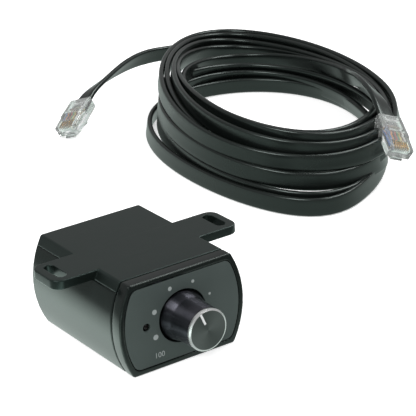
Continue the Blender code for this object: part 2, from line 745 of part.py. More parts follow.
def make_board(parts, tools, finish):
    """Circuit board on two posts."""
    half = BOARD_WIDTH / 2
    low = BOARD_TOP_Z - BOARD_THICKNESS
    board = box(
        (-half, FRONT_Y + BOARD_FRONT, low),
        (half, FRONT_Y + BOARD_BACK, BOARD_TOP_Z),
        parts,
    )
    for x, y in board_screw_places():
        place = Matrix.Translation((x, y, BOARD_TOP_Z))
        cut(board, cylinder(SCREW_RADIUS + GAP, 4 * BOARD_THICKNESS, place, tools, 12))
    return finished(board, "circuit_board", finish)


def make_board_parts(parts, tools, finishes):
    """Screws, controller chip and capacitor on the board."""
    for number, (x, y) in enumerate(board_screw_places(), 1):
        place = Matrix.Translation((x, y, BOARD_TOP_Z + GAP))
        screw(f"board_screw_{number}", BOARD_SCREW_LENGTH, place, parts, tools, finishes["steel"])
    base = BOARD_TOP_Z + GAP
    chip_y = FRONT_Y + BOARD_FRONT + POST_SETBACK
    chip = box(
        (-CHIP_SIZE / 2, chip_y - CHIP_SIZE / 2, base),
        (CHIP_SIZE / 2, chip_y + CHIP_SIZE / 2, base + CHIP_THICKNESS),
        parts,
    )
    finished(chip, "controller_chip", finishes["chip"])
    can_y = FRONT_Y + BOARD_FRONT + CAPACITOR_RADIUS + 2 * GAP
    place = Matrix.Translation((CAPACITOR_OFFSET, can_y, base + CAPACITOR_HEIGHT / 2))
    can = cylinder(CAPACITOR_RADIUS, CAPACITOR_HEIGHT, place, parts, 20)
    finished(round_edges(can, CAPACITOR_CORNER, segments=1), "smoothing_capacitor", finishes["can"])


def make_socket(parts, tools, shell_finish, contact_finish):
    """Eight-way socket flush with the rear cover, and the contact carrier inside it."""
    half_width = SOCKET_WIDTH / 2
    half_height = SOCKET_HEIGHT / 2
    back_y = FRONT_Y + CASE_DEPTH
    shell = box(
        (-half_width, back_y - SOCKET_DEPTH, AXIS_Z - half_height),
        (half_width, back_y, AXIS_Z + half_height),
        parts,
    )
    mouth_top = AXIS_Z + half_height - SOCKET_ROOF
    mouth_low = mouth_top - SOCKET_MOUTH_HEIGHT
    mouth_inner = back_y - SOCKET_MOUTH_DEPTH
    cut(
        shell,
        box(
            (-SOCKET_MOUTH_WIDTH / 2, mouth_inner, mouth_low),
            (SOCKET_MOUTH_WIDTH / 2, back_y + GAP, mouth_top),
            tools,
        ),
        box(
            (-LATCH_NOTCH_WIDTH / 2, mouth_inner, mouth_low - LATCH_NOTCH_HEIGHT),
            (LATCH_NOTCH_WIDTH / 2, back_y + GAP, mouth_low + GAP),
            tools,
        ),
    )
    finished(shell, "socket_shell", shell_finish)
    carrier_width = SOCKET_MOUTH_WIDTH - 2 * GAP
    carrier_high = mouth_top - GAP
    carrier_low = carrier_high - CARRIER_THICKNESS
    spring_front = mouth_inner + 2 * GAP
    spring_back = back_y - CARRIER_SETBACK
    carrier = box(
        (-carrier_width / 2, spring_front, carrier_low),
        (carrier_width / 2, spring_back, carrier_high),
        parts,
    )
    fan = [
        (spring_back - 2 * SPRING_ROOT, carrier_low + GAP),
        (spring_front, carrier_low - SPRING_DROP),
        (spring_front, carrier_low - SPRING_DROP - CONTACT_THICKNESS),
        (spring_back - SPRING_ROOT, carrier_low + GAP),
    ]
    for index in range(CONTACT_COUNT):
        spring = side_solid(fan, CONTACT_THICKNESS, tools)
        spring.data.transform(Matrix.Translation((contact_place(index), 0.0, 0.0)))
        join(carrier, spring)
    finished(carrier, "socket_contacts", contact_finish)


def plug_frame(nose, lengthwise, up):
    """Plug frame: +X across, +Y from nose to cable, +Z towards the contacts; origin at the nose."""
    y_axis = Vector(lengthwise).normalized()
    z_axis = Vector(up) - y_axis * y_axis.dot(Vector(up))
    z_axis.normalize()
    x_axis = y_axis.cross(z_axis)
    matrix = Matrix((x_axis, y_axis, z_axis)).transposed().to_4x4()
    matrix.translation = Vector(nose)
    return matrix


def side_solid(outline, width, collection):
    """A side view, (y, z), made as wide as asked across X."""
    matrix = Matrix.Rotation(pi / 2, 4, "Z") @ Matrix.Rotation(pi / 2, 4, "X")
    return outline_solid(outline, width, matrix, collection)


def contact_place(index):
    return (index - (CONTACT_COUNT - 1) / 2) * CONTACT_PITCH


def make_plug(label, matrix, parts, tools, finishes):
    """Clear plug with eight contact blades and a sprung latch."""
    top = PLUG_HEIGHT / 2
    nose_low = top - PLUG_NOSE_HEIGHT
    nose_top = top - PLUG_TOP_STEP
    body_profile = [
        (0.0, nose_low),
        (PLUG_NOSE_LENGTH, nose_low),
        (PLUG_NOSE_LENGTH + PLUG_BELLY_RUN, -top),
        (PLUG_LENGTH, -top),
        (PLUG_LENGTH, nose_top),
        (PLUG_NOSE_LENGTH + PLUG_RIB_LENGTH, top),
        (PLUG_NOSE_LENGTH, top),
        (PLUG_NOSE_LENGTH - PLUG_TOP_STEP, nose_top),
        (PLUG_NOSE_CHAMFER, nose_top),
        (0.0, nose_top - PLUG_NOSE_CHAMFER),
    ]
    body = round_edges(side_solid(body_profile, PLUG_WIDTH, parts), PLUG_EDGE, segments=1, angle=80)
    mouth = CABLE_MOUTH_WIDTH / 2
    mouth_inner = PLUG_LENGTH - CABLE_MOUTH_DEPTH
    channel = CORE_CHANNEL_WIDTH / 2
    window = CORE_WINDOW_WIDTH / 2
    clamp_profile = [
        (CLAMP_WINDOW[0], CLAMP_FLOOR_LOW),
        (CLAMP_WINDOW[1], CLAMP_FLOOR_HIGH),
        (CLAMP_WINDOW[1], top + GAP),
        (CLAMP_WINDOW[0], top + GAP),
    ]
    cut(
        body,
        box(
            (-mouth, mouth_inner, -CABLE_MOUTH_HEIGHT / 2),
            (mouth, PLUG_LENGTH + GAP, CABLE_MOUTH_HEIGHT / 2),
            tools,
        ),
        box(
            (-channel, CORE_CHANNEL_START, -CORE_CHANNEL_HEIGHT / 2),
            (channel, mouth_inner + GAP, CORE_CHANNEL_HEIGHT / 2),
            tools,
        ),
        box(
            (-window, CORE_WINDOW[0], top - CORE_WINDOW_DEPTH),
            (window, CORE_WINDOW[1], top + GAP),
            tools,
        ),
        side_solid(clamp_profile, CLAMP_WINDOW_WIDTH, tools),
    )
    slot_low = nose_top - CONTACT_SLOT_DEPTH
    for index in range(CONTACT_COUNT):
        x = contact_place(index)
        half = CONTACT_SLOT_WIDTH / 2
        cut(
            body,
            box((x - half, -GAP, slot_low), (x + half, CONTACT_SLOT_LENGTH, top + GAP), tools),
        )
    body.data.transform(matrix)
    finished(body, f"plug_{label}_body", finishes["clear"])
    blade_front = CONTACT_SLOT_LENGTH - CONTACT_LENGTH - GAP
    for index in range(CONTACT_COUNT):
        x = contact_place(index)
        half = BLADE_THICKNESS / 2
        blade = box(
            (x - half, blade_front, slot_low + GAP),
            (x + half, blade_front + CONTACT_LENGTH, nose_top - GAP),
            parts,
        )
        blade.data.transform(matrix)
        finished(blade, f"plug_{label}_contact_{index + 1}", finishes["gold"])
    make_latch(label, matrix, nose_low, parts, tools, finishes["clear"])


def make_latch(label, matrix, root_z, parts, tools, finish):
    """Latch lever under the plug: wide at its root, narrow at its thumb end."""
    wide = LATCH_WIDTH / 2
    narrow = LATCH_TAIL_WIDTH / 2
    outline = [
        (-wide, 0.0),
        (wide, 0.0),
        (wide, LATCH_SHOULDER),
        (narrow, LATCH_SHOULDER + (wide - narrow) / 2),
        (narrow, LATCH_LENGTH),
        (-narrow, LATCH_LENGTH),
        (-narrow, LATCH_SHOULDER + (wide - narrow) / 2),
        (-wide, LATCH_SHOULDER),
    ]
    latch = plan_solid(outline, -LATCH_THICKNESS, 0.0, parts)
    round_edges(latch, LATCH_EDGE, segments=1)
    latch.data.transform(Matrix.Rotation(-LATCH_ANGLE, 4, "X"))
    latch.matrix_world = matrix @ Matrix.Translation((0.0, 0.0, root_z - GAP))
    return finished(latch, f"plug_{label}_latch", finish)


def smooth_route(points, step):
    """Even points on a smooth curve through the given ones."""
    knots = [Vector(p) for p in points]
    knots = [2 * knots[0] - knots[1]] + knots + [2 * knots[-1] - knots[-2]]
    fine = []
    for before, start, stop, after in zip(knots, knots[1:], knots[2:], knots[3:]):
        for i in range(16):
            t = i / 16
            fine.append(
                (2 * start + (stop - before) * t
                 + (2 * before - 5 * start + 4 * stop - after) * t ** 2
                 + (3 * start - before - 3 * stop + after) * t ** 3) / 2
            )
    fine.append(knots[-2])
    lengths = [0.0]
    for first, second in zip(fine, fine[1:]):
        lengths.append(lengths[-1] + (second - first).length)
    count = max(2, ceil(lengths[-1] / step))
    route = []
    for i in range(count + 1):
        wanted = lengths[-1] * i / count
        index = min(max(sum(length <= wanted for length in lengths) - 1, 0), len(fine) - 2)
        share = (wanted - lengths[index]) / (lengths[index + 1] - lengths[index])
        route.append(fine[index].lerp(fine[index + 1], share))
    return route


def make_tail(name, exit_point, route, parts, finish):
    """Round stand-in for a free stretch of the flat cable, square to the plug where it leaves."""
    curve = bpy.data.curves.new(name, "CURVE")
    curve.dimensions = "3D"
    curve.bevel_depth = CABLE_RADIUS
    curve.bevel_resolution = 2
    curve.use_fill_caps = True
    spline = curve.splines.new("POLY")
    points = [exit_point] + smooth_route(route, TAIL_STEP)
    spline.points.add(len(points) - 1)
    for point, place in zip(spline.points, points):
        point.co = (*place, 1.0)
    curve.materials.append(finish)
    tail = bpy.data.objects.new(name, curve)
    parts.objects.link(tail)
    return tail


def coil_point(turned_point):
    """Where a point of the round ring lies on the tapering, egg-shaped one."""
    angle = atan2(turned_point.y, turned_point.x)
    inset = COIL_FOOT_LONG_RADIUS - turned_point.xy.length
    rise = turned_point.z / COIL_HEIGHT
    long_radius = COIL_FOOT_LONG_RADIUS + (COIL_TOP_LONG_RADIUS - COIL_FOOT_LONG_RADIUS) * rise
    short_radius = COIL_FOOT_SHORT_RADIUS + (COIL_TOP_SHORT_RADIUS - COIL_FOOT_SHORT_RADIUS) * rise
    egg = COIL_FOOT_EGG + (COIL_TOP_EGG - COIL_FOOT_EGG) * rise
    along = (long_radius - inset) * cos(angle)
    across = (short_radius * (1 + egg * cos(angle)) - inset) * sin(angle)
    x = along * cos(COIL_HEADING) - across * sin(COIL_HEADING)
    y = along * sin(COIL_HEADING) + across * cos(COIL_HEADING)
    return Vector((COIL_CENTRE[0] + x, COIL_CENTRE[1] + y, turned_point.z))


def make_coil(parts, finish):
    """Outer shape of the coiled lead: a turned ring, drawn out to the pile's egg shape."""
    outer = COIL_FOOT_LONG_RADIUS
    profile = [
        (outer, COIL_HEIGHT),
        (outer, 0.0),
        (outer - COIL_FOOT_THICKNESS, 0.0),
        (outer - COIL_FOOT_THICKNESS, COIL_STEP_LOW),
        (outer - COIL_TOP_THICKNESS, COIL_STEP_HIGH),
        (outer - COIL_TOP_THICKNESS, COIL_HEIGHT),
    ]
    coil = turned(profile, Matrix.Identity(4), parts, 64)
    for corner in coil.data.vertices:
        corner.co = coil_point(corner.co)
    return finished(coil, "lead_coil", finish)


def make_lead(parts, tools, finishes):
    """Flat lead with a plug on each end, lying beside the unit."""
    make_coil(parts, finishes["cable"])
    plugs = {
        "a": plug_frame(PLUG_A_NOSE, PLUG_A_LENGTHWISE, PLUG_A_UP),
        "b": plug_frame(PLUG_B_NOSE, PLUG_B_LENGTHWISE, PLUG_B_UP),
    }
    routes = {"a": (TAIL_A_ROUTE, TAIL_A_END), "b": (TAIL_B_ROUTE, TAIL_B_END)}
    for label, matrix in plugs.items():
        make_plug(label, matrix, parts, tools, finishes)
        exit_point = matrix @ Vector((0.0, PLUG_LENGTH + GAP, 0.0))
        straight = matrix @ Vector((0.0, PLUG_LENGTH + GAP + CABLE_RADIUS, 0.0))
        route, end = routes[label]
        make_tail(f"lead_tail_{label}", exit_point, (straight, *route, end), parts, finishes["cable"])


def main():
    for old in list(bpy.data.objects):
        bpy.data.objects.remove(old)
    parts = new_collection(PART_NAME)
    tools = new_collection("cutters")
    black = (0.012, 0.013, 0.013)
    finishes = {
        "gloss": material("gloss_black", black, 0.28),
        "fascia": material("matt_fascia", (0.055, 0.065, 0.064), 0.6),
        "knob": material("knob_black", (0.010, 0.010, 0.012), 0.35),
        "disc": material("spun_aluminium", (0.45, 0.47, 0.47), 0.3, 1.0),
        "steel": material("zinc_steel", (0.55, 0.56, 0.57), 0.35, 1.0),
        "brass": material("nickel_brass", (0.60, 0.56, 0.47), 0.3, 1.0),
        "gold": material("gold_contact", (0.80, 0.58, 0.22), 0.25, 1.0),
        "clear": material("clear_plug", (0.85, 0.90, 0.88), 0.1, 0.0, 0.35),
        "board": material("green_board", (0.02, 0.12, 0.06), 0.5),
        "chip": material("chip_black", (0.02, 0.02, 0.02), 0.5),
        "can": material("capacitor_can", (0.60, 0.60, 0.62), 0.3, 1.0),
        "inner": material("inner_plastic", (0.03, 0.03, 0.03), 0.5),
        "led": material("red_lens", (0.25, 0.01, 0.01), 0.15),
        "cable": material("black_cable", (0.014, 0.016, 0.016), 0.4),
    }
    make_housing(parts, tools, finishes["gloss"])
    make_top_cover(parts, tools, finishes["gloss"])
    make_front_cap(parts, tools, finishes["gloss"])
    make_fascia(parts, tools, finishes["fascia"])
    make_rear_cover(parts, tools, finishes["gloss"])
    make_cover_screws(parts, tools, finishes["steel"])
    knob = make_knob(parts, tools, finishes["knob"])
    disc = make_face_disc(parts, finishes["disc"])
    shaft = make_shaft(parts, tools, finishes["steel"])
    make_bushing(parts, finishes["brass"])
    make_nut_and_washer(parts, tools, finishes["brass"], finishes["steel"])
    make_control_body(parts, tools, finishes["inner"])
    plunger = make_switch_plunger(parts, finishes["inner"])
    hang_on(make_pivot("knob_axis", knob_axis(), tools), knob, disc, shaft, plunger)
    make_indicator(parts, tools, finishes["led"], finishes["inner"])
    make_board(parts, tools, finishes["board"])
    make_board_parts(parts, tools, finishes)
    make_socket(parts, tools, finishes["inner"], finishes["gold"])
    make_lead(parts, tools, finishes)


main()
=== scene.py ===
"""Trailer brake controller and its coiled flat lead, dressed for a close view.

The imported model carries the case, the control and the plugs. This file gives each of those solids
its finish, and adds what is soft or printed: the flat lead, its coloured cores, the dot scale, the
number under it and the index line on the knob. Metres, +Z up, fascia towards -Y.
"""

from __future__ import annotations

import logging
from dataclasses import dataclass, field
from enum import Enum
from math import ceil, cos, pi, radians, sin, tau
from typing import Sequence

import bmesh
import bpy
from mathutils import Matrix, Vector


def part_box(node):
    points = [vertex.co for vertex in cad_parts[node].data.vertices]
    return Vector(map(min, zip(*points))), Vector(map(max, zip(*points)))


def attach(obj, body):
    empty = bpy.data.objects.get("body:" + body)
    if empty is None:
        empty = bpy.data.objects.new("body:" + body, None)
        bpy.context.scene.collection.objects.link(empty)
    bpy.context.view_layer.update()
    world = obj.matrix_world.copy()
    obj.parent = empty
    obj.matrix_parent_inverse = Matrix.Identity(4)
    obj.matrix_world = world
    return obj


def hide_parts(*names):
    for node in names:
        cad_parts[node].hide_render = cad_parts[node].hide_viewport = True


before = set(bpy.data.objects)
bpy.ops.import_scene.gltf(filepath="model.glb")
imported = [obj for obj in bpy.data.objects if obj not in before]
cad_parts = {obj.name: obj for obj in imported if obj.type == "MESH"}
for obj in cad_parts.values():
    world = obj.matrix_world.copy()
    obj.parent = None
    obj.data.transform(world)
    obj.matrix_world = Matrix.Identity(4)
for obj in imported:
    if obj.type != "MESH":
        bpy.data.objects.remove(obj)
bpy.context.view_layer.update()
LOG = logging.getLogger("brake_controller")
MM = 0.001
UP = Vector((0.0, 0.0, 1.0))
BEVEL_SAMPLES = 6
# Octaves of the noise under soft patches and under fine grain, and the stretch of values it uses.
PATCH_DETAIL = 3.0
GRAIN_DETAIL = 2.0
NOISE_STRETCH = (0.3, 0.7)

Node = bpy.types.Node
NodeTree = bpy.types.NodeTree
Socket = bpy.types.NodeSocket
Colour = tuple[float, float, float, float]
Point = tuple[float, float, float]
Span = tuple[float, float]
# A place on a path, and the direction of the width there.
Knot = tuple[Vector, Vector]


class Body(Enum):
    """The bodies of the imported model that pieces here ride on."""

    UNIT = "unit"
    KNOB = "knob"


class Slot(Enum):
    """Material slots of the record. No piece here takes its finish from them."""

    CABLE = "black_cable"
    FASCIA = "matt_fascia"


def linear(srgb: str) -> Colour:
    """Turn an sRGB hex colour into the linear RGBA that shaders take.

    Args:
        srgb: Six hex digits, such as "3a3f3d".

    Returns:
        Linear red, green and blue with an alpha of 1.
    """
    parts = [int(srgb[i:i + 2], 16) / 255 for i in (0, 2, 4)]
    flat = [c / 12.92 if c <= 0.04045 else ((c + 0.055) / 1.055) ** 2.4 for c in parts]
    return (flat[0], flat[1], flat[2], 1.0)


def grey(level: float) -> Colour:
    """Linear grey of one brightness."""
    return (level, level, level, 1.0)


def add_node(tree: NodeTree, kind: str, settings: dict[str, object] | None = None,
             links: dict[str, Socket] | None = None, **values: object) -> Node:
    """Add one node.

    Args:
        tree: The node tree it goes into.
        kind: The node's type, without the "ShaderNode" in front in a material or a world.
        settings: Properties set on the node itself.
        links: Input name to the output socket that feeds it. A number in the name picks by index.
        values: Input values by socket name, with underscores for its spaces, or by index, as i1.

    Returns:
        The new node.
    """
    front = "ShaderNode" if tree.bl_idname == "ShaderNodeTree" else ""
    node = tree.nodes.new(front + kind)
    for name, value in (settings or {}).items():
        setattr(node, name, value)
    for name, value in values.items():
        key = int(name[1:]) if name[0] == "i" and name[1:].isdigit() else name.replace("_", " ")
        node.inputs[key].default_value = value
    for name, socket in (links or {}).items():
        tree.links.new(socket, node.inputs[int(name) if name.isdigit() else name])
    return node


@dataclass(frozen=True)
class Finish:
    """A surface: its name, colours in sRGB hex, and the numbers that shape its sheen.

    Args:
        name: What the real material is, and how it was made.
        colour: Main colour.
        second: Colour of the slight variation over the surface.
        roughness: Mean roughness.
        spread: How far roughness wanders either way.
        grain_mm: Size of one grain of the surface relief. Where the real grain is too fine to
            show, it is drawn as coarse as it needs to be.
        relief_mm: Height of that relief.
        patch_mm: Size of the soft patches of colour and roughness.
        metallic: 1 for a metal.
        ior: Index of refraction of a plastic, paint or glass.
        specular: Specular level of a plastic, paint or glass.
        sheen_tint: Tint of a plastic's reflections.
        round_mm: Radius over which light runs softly round an edge, or 0 for none.
    """

    name: str
    colour: str
    second: str
    roughness: float
    spread: float = 0.05
    grain_mm: float = 0.25
    relief_mm: float = 0.004
    patch_mm: float = 9.0
    metallic: float = 0.0
    ior: float = 1.5
    specular: float = 0.5
    sheen_tint: str = "ffffff"
    round_mm: float = 0.0

    def build(self) -> bpy.types.Material:
        """Make the material, or give back the one already made.

        Returns:
            The material with this finish.
        """
        made = bpy.data.materials.get(self.name)
        if made is not None:
            return made
        made = bpy.data.materials.new(self.name)
        made.use_nodes = True
        tree = made.node_tree
        shader = tree.nodes["Principled BSDF"]
        shader.inputs["Metallic"].default_value = self.metallic
        if self.metallic < 0.5:
            shader.inputs["IOR"].default_value = self.ior
            shader.inputs["Specular IOR Level"].default_value = self.specular
            shader.inputs["Specular Tint"].default_value = linear(self.sheen_tint)
        place = add_node(tree, "TexCoord").outputs["Object"]
        patches = add_node(tree, "TexNoise", links={"Vector": place},
                           Scale=1 / (self.patch_mm * MM), Detail=PATCH_DETAIL)
        colour = self.colouring(tree, place, patches.outputs["Fac"])
        tree.links.new(colour, shader.inputs["Base Color"])
        rough = add_node(tree, "MapRange", links={"Value": patches.outputs["Fac"]},
                         i1=NOISE_STRETCH[0], i2=NOISE_STRETCH[1],
                         i3=self.roughness - self.spread, i4=self.roughness + self.spread)
        tree.links.new(rough.outputs["Result"], shader.inputs["Roughness"])
        under = {"Height": self.relief(tree, place)}
        if self.round_mm > 0:
            under["Normal"] = add_node(tree, "Bevel", {"samples": BEVEL_SAMPLES},
                                       Radius=self.round_mm * MM).outputs["Normal"]
        bump = add_node(tree, "Bump", links=under, Strength=1.0, Distance=self.relief_mm * MM)
        tree.links.new(bump.outputs["Normal"], shader.inputs["Normal"])
        self.extra(tree, shader, place)
        return made

    def colouring(self, tree: NodeTree, place: Socket, patches: Socket) -> Socket:
        """Mix the two colours over soft patches.

        Args:
            tree: The material's nodes.
            place: Object coordinates, which are not used here.
            patches: A soft noise from 0 to 1.

        Returns:
            The colour socket.
        """
        mix = add_node(tree, "Mix", {"data_type": "RGBA"}, {"0": patches},
                       i6=linear(self.colour), i7=linear(self.second))
        return mix.outputs[2]

    def relief(self, tree: NodeTree, place: Socket) -> Socket:
        """Fine even grain, as a spark-eroded mould leaves.

        Args:
            tree: The material's nodes.
            place: Object coordinates.

        Returns:
            The height socket, from 0 to 1.
        """
        grain = add_node(tree, "TexNoise", links={"Vector": place},
                         Scale=1 / (self.grain_mm * MM), Detail=GRAIN_DETAIL)
        return grain.outputs["Fac"]

    def extra(self, tree: NodeTree, shader: Node, place: Socket) -> None:
        """Add what only one kind of finish has, which is nothing here."""


@dataclass(frozen=True)
class SheathFinish(Finish):
    """Extruded sheath, whose faint waves run level, as the lead does.

    Args:
        stretch: How the noise is squeezed along each axis, less than 1 drawing the waves out.
    """

    stretch: Point = (0.18, 0.18, 1.0)

    def relief(self, tree: NodeTree, place: Socket) -> Socket:
        """Soft wander of an extruded skin.

        Args:
            tree: The material's nodes.
            place: Object coordinates.

        Returns:
            The height socket, from 0 to 1.
        """
        drawn = add_node(tree, "Mapping", links={"Vector": place}, Scale=self.stretch)
        waves = add_node(tree, "TexNoise", links={"Vector": drawn.outputs["Vector"]},
                         Scale=1 / (self.grain_mm * MM), Detail=GRAIN_DETAIL)
        return waves.outputs["Fac"]


@dataclass(frozen=True)
class SpunFinish(Finish):
    """Spun metal face with a bright cut bevel at its rim, and a painted reflection in light and
    dark sectors over the face.

    Args:
        axis_height: Height of the face's centre above the floor.
        bevel_start: Radius at which the cut bevel starts.
        groove_mm: Spacing of the spun rings, drawn coarse enough to show.
        bevel_roughness: Roughness of the cut bevel.
        bevel_edge: Half the width over which the face passes into the bevel.
        bevel_colour: Bare metal of the bevel, in sRGB hex.
        painted_reflection_sectors: Number of light sectors of painted reflection round the face.
        painted_reflection_turn: How far they are turned round, as a phase in radians.
    """

    axis_height: float = 0.018
    bevel_start: float = 0.0074
    groove_mm: float = 0.11
    bevel_roughness: float = 0.24
    bevel_edge: float = 1e-5
    bevel_colour: str = "f4f5f5"
    painted_reflection_sectors: float = 2.0
    painted_reflection_turn: float = 0.6

    def radius(self, tree: NodeTree, place: Socket) -> Socket:
        """Distance from the knob's axis.

        Args:
            tree: The material's nodes.
            place: Object coordinates.

        Returns:
            The distance socket, in metres.
        """
        shifted = add_node(tree, "Mapping", links={"Vector": place},
                           Location=(0.0, 0.0, -self.axis_height), Scale=(1.0, 0.0, 1.0))
        length = add_node(tree, "VectorMath", {"operation": "LENGTH"},
                          {"0": shifted.outputs["Vector"]})
        return length.outputs["Value"]

    def relief(self, tree: NodeTree, place: Socket) -> Socket:
        """Rings about the knob's axis.

        Args:
            tree: The material's nodes.
            place: Object coordinates.

        Returns:
            The height socket, from -1 to 1.
        """
        turns = add_node(tree, "Math", {"operation": "MULTIPLY"},
                         {"0": self.radius(tree, place)}, i1=tau / (self.groove_mm * MM))
        wave = add_node(tree, "Math", {"operation": "SINE"}, {"0": turns.outputs["Value"]})
        return wave.outputs["Value"]

    def colouring(self, tree: NodeTree, place: Socket, patches: Socket) -> Socket:
        """Dark lacquered face with a painted reflection in faint light and dark sectors, bare
        bright metal on the bevel.

        Args:
            tree: The material's nodes.
            place: Object coordinates.
            patches: A soft noise from 0 to 1, which is not used here.

        Returns:
            The colour socket.
        """
        shifted = add_node(tree, "Mapping", links={"Vector": place},
                           Location=(0.0, 0.0, -self.axis_height))
        parts = add_node(tree, "SeparateXYZ", links={"Vector": shifted.outputs["Vector"]})
        # Painted reflection: the face is made lighter and darker in sectors round the axis.
        angle = add_node(tree, "Math", {"operation": "ARCTAN2"},
                         {"0": parts.outputs["Z"], "1": parts.outputs["X"]})
        rounds = add_node(tree, "Math", {"operation": "MULTIPLY_ADD"},
                           {"0": angle.outputs["Value"]}, i1=self.painted_reflection_sectors, i2=self.painted_reflection_turn)
        reflection_sector = add_node(tree, "Math", {"operation": "SINE"}, {"0": rounds.outputs["Value"]})
        share = add_node(tree, "MapRange", links={"Value": reflection_sector.outputs["Value"]},
                         i1=-1.0, i2=1.0)
        face = add_node(tree, "Mix", {"data_type": "RGBA"}, {"0": share.outputs["Result"]},
                        i6=linear(self.colour), i7=linear(self.second))
        rim = add_node(tree, "Math", {"operation": "GREATER_THAN"},
                       {"0": self.radius(tree, place)}, i1=self.bevel_start)
        both = add_node(tree, "Mix", {"data_type": "RGBA"},
                        {"0": rim.outputs["Value"], "6": face.outputs[2]},
                        i7=linear(self.bevel_colour))
        return both.outputs[2]

    def extra(self, tree: NodeTree, shader: Node, place: Socket) -> None:
        """Polish the bevel more than the face.

        Args:
            tree: The material's nodes.
            shader: The material's shader.
            place: Object coordinates.
        """
        inside, outside = self.bevel_start - self.bevel_edge, self.bevel_start + self.bevel_edge
        polish = add_node(tree, "MapRange", links={"Value": self.radius(tree, place)},
                          i1=inside, i2=outside, i3=self.roughness, i4=self.bevel_roughness)
        tree.links.new(polish.outputs["Result"], shader.inputs["Roughness"])


@dataclass(frozen=True)
class TurnedFinish(Finish):
    """Turned and polished surface, whose light streaks run along its axis.

    Args:
        streak: How far the streaks are drawn out.
        streak_turn: Part of a full turn between the streaks and the turning marks.
    """

    streak: float = 0.9
    streak_turn: float = 0.25

    def extra(self, tree: NodeTree, shader: Node, place: Socket) -> None:
        """Draw the highlights out across the turning marks.

        Args:
            tree: The material's nodes.
            shader: The material's shader.
            place: Object coordinates, which are not used here.
        """
        shader.inputs["Anisotropic"].default_value = self.streak
        shader.inputs["Anisotropic Rotation"].default_value = self.streak_turn
        around = add_node(tree, "Tangent", {"direction_type": "RADIAL", "axis": "Y"})
        tree.links.new(around.outputs["Tangent"], shader.inputs["Tangent"])


@dataclass(frozen=True)
class ClearFinish(Finish):
    """Clear moulding that light passes through, with faint flow marks.

    Args:
        milkiness: Share of light that a scuffed skin scatters.
    """

    milkiness: float = 0.14

    def extra(self, tree: NodeTree, shader: Node, place: Socket) -> None:
        """Let light through."""
        shader.inputs["Transmission Weight"].default_value = 1.0 - self.milkiness


@dataclass(frozen=True)
class BoardFinish(Finish):
    """Solder mask over copper tracks.

    Args:
        track_mm: Spacing of the tracks.
        tile_tracks: Tracks in one tile of the pattern.
        track_width: Width of a track, as a share of a tile.
    """

    track_mm: float = 1.6
    tile_tracks: int = 4
    track_width: float = 0.03

    def colouring(self, tree: NodeTree, place: Socket, patches: Socket) -> Socket:
        """Lighter green where a track runs under the mask.

        Args:
            tree: The material's nodes.
            place: Object coordinates.
            patches: A soft noise from 0 to 1, which is not used here.

        Returns:
            The colour socket.
        """
        cells = add_node(tree, "TexBrick", links={"Vector": place},
                         Scale=1 / (self.track_mm * MM * self.tile_tracks),
                         Mortar_Size=self.track_width,
                         Color1=linear(self.colour), Color2=linear(self.colour),
                         Mortar=linear(self.second))
        return cells.outputs["Color"]


# Glossy black ABS, injection moulded: deep black that mirrors the pale room softly in grey-green.
GLOSS_ABS = Finish("gloss_black_abs", "090c0c", "0d1110", roughness=0.17, spread=0.03,
                   grain_mm=0.35, relief_mm=0.0010, patch_mm=14.0, ior=1.52, specular=0.5,
                   sheen_tint="e2f2ec", round_mm=0.8)
# The lid's satin top, same ABS from an eroded mould: even dark grey with no sharp reflection.
SATIN_ABS = Finish("satin_black_abs", "0f1412", "131816", roughness=0.34, spread=0.03,
                   grain_mm=0.22, relief_mm=0.005, patch_mm=12.0, ior=1.52, specular=0.5,
                   sheen_tint="ccece6", round_mm=0.5)
# Matt polycarbonate overlay on the fascia: flat grey-green with a very fine tooth.
FASCIA_FILM = Finish("matt_overlay_film", "464f4d", "4c5553", roughness=0.55, spread=0.04,
                     grain_mm=0.18, relief_mm=0.004, patch_mm=8.0, ior=1.58, specular=0.4,
                     sheen_tint="e2f2ec", round_mm=0.2)
# Turned aluminium, black anodised: near black with long pale lavender streaks.
BLACK_ANODISED = TurnedFinish("black_anodised_aluminium", "5b5b63", "616169", roughness=0.25,
                              spread=0.02, grain_mm=0.4, relief_mm=0.0003, patch_mm=6.0,
                              metallic=1.0)
# Spun aluminium under dark lacquer: grey, with a painted reflection in faint bright and dark
# sectors.
SPUN_ALUMINIUM = SpunFinish("spun_aluminium_face", "6a706e", "868c8a", roughness=0.36, spread=0.03,
                            grain_mm=0.2, relief_mm=0.003, patch_mm=5.0, metallic=0.9)
# Zinc plated steel: blue-white with a slightly milky roughness.
ZINC_STEEL = Finish("zinc_plated_steel", "9fa3a6", "b4b8ba", roughness=0.34, spread=0.08,
                    grain_mm=0.3, relief_mm=0.004, patch_mm=2.5, metallic=1.0)
# Nickel plated brass: warm white metal, turned.
NICKEL_BRASS = Finish("nickel_plated_brass", "a9a18c", "bdb6a2", roughness=0.28, spread=0.06,
                      grain_mm=0.2, relief_mm=0.004, patch_mm=2.0, metallic=1.0)
# Gold flash over nickel on the contact blades: warm yellow, smooth.
GOLD_FLASH = Finish("gold_flashed_contact", "c79a4a", "dcb568", roughness=0.24, spread=0.05,
                    grain_mm=0.2, relief_mm=0.003, patch_mm=1.5, metallic=1.0)
# Clear polycarbonate: water-clear with a faint green edge.
CLEAR_POLYCARBONATE = ClearFinish("clear_polycarbonate", "f7fbf9", "fdfefd", roughness=0.08,
                                  spread=0.02, grain_mm=0.9, relief_mm=0.0015, patch_mm=3.0,
                                  ior=1.50)
# Fibreglass board under green solder mask.
SOLDER_MASK = BoardFinish("green_solder_mask", "14512f", "2b7a4b", roughness=0.35, spread=0.05,
                          grain_mm=0.3, relief_mm=0.004, patch_mm=5.0, ior=1.5)
# Moulded epoxy of the chip: flat charcoal.
MOULDED_EPOXY = Finish("moulded_epoxy", "1e1f20", "27282a", roughness=0.6, spread=0.05,
                       grain_mm=0.12, relief_mm=0.006, patch_mm=2.0)
# Drawn aluminium can: bright and lightly scuffed.
DRAWN_CAN = Finish("drawn_aluminium_can", "a7aaae", "bfc2c5", roughness=0.3, spread=0.08,
                   grain_mm=0.3, relief_mm=0.004, patch_mm=2.0, metallic=1.0)
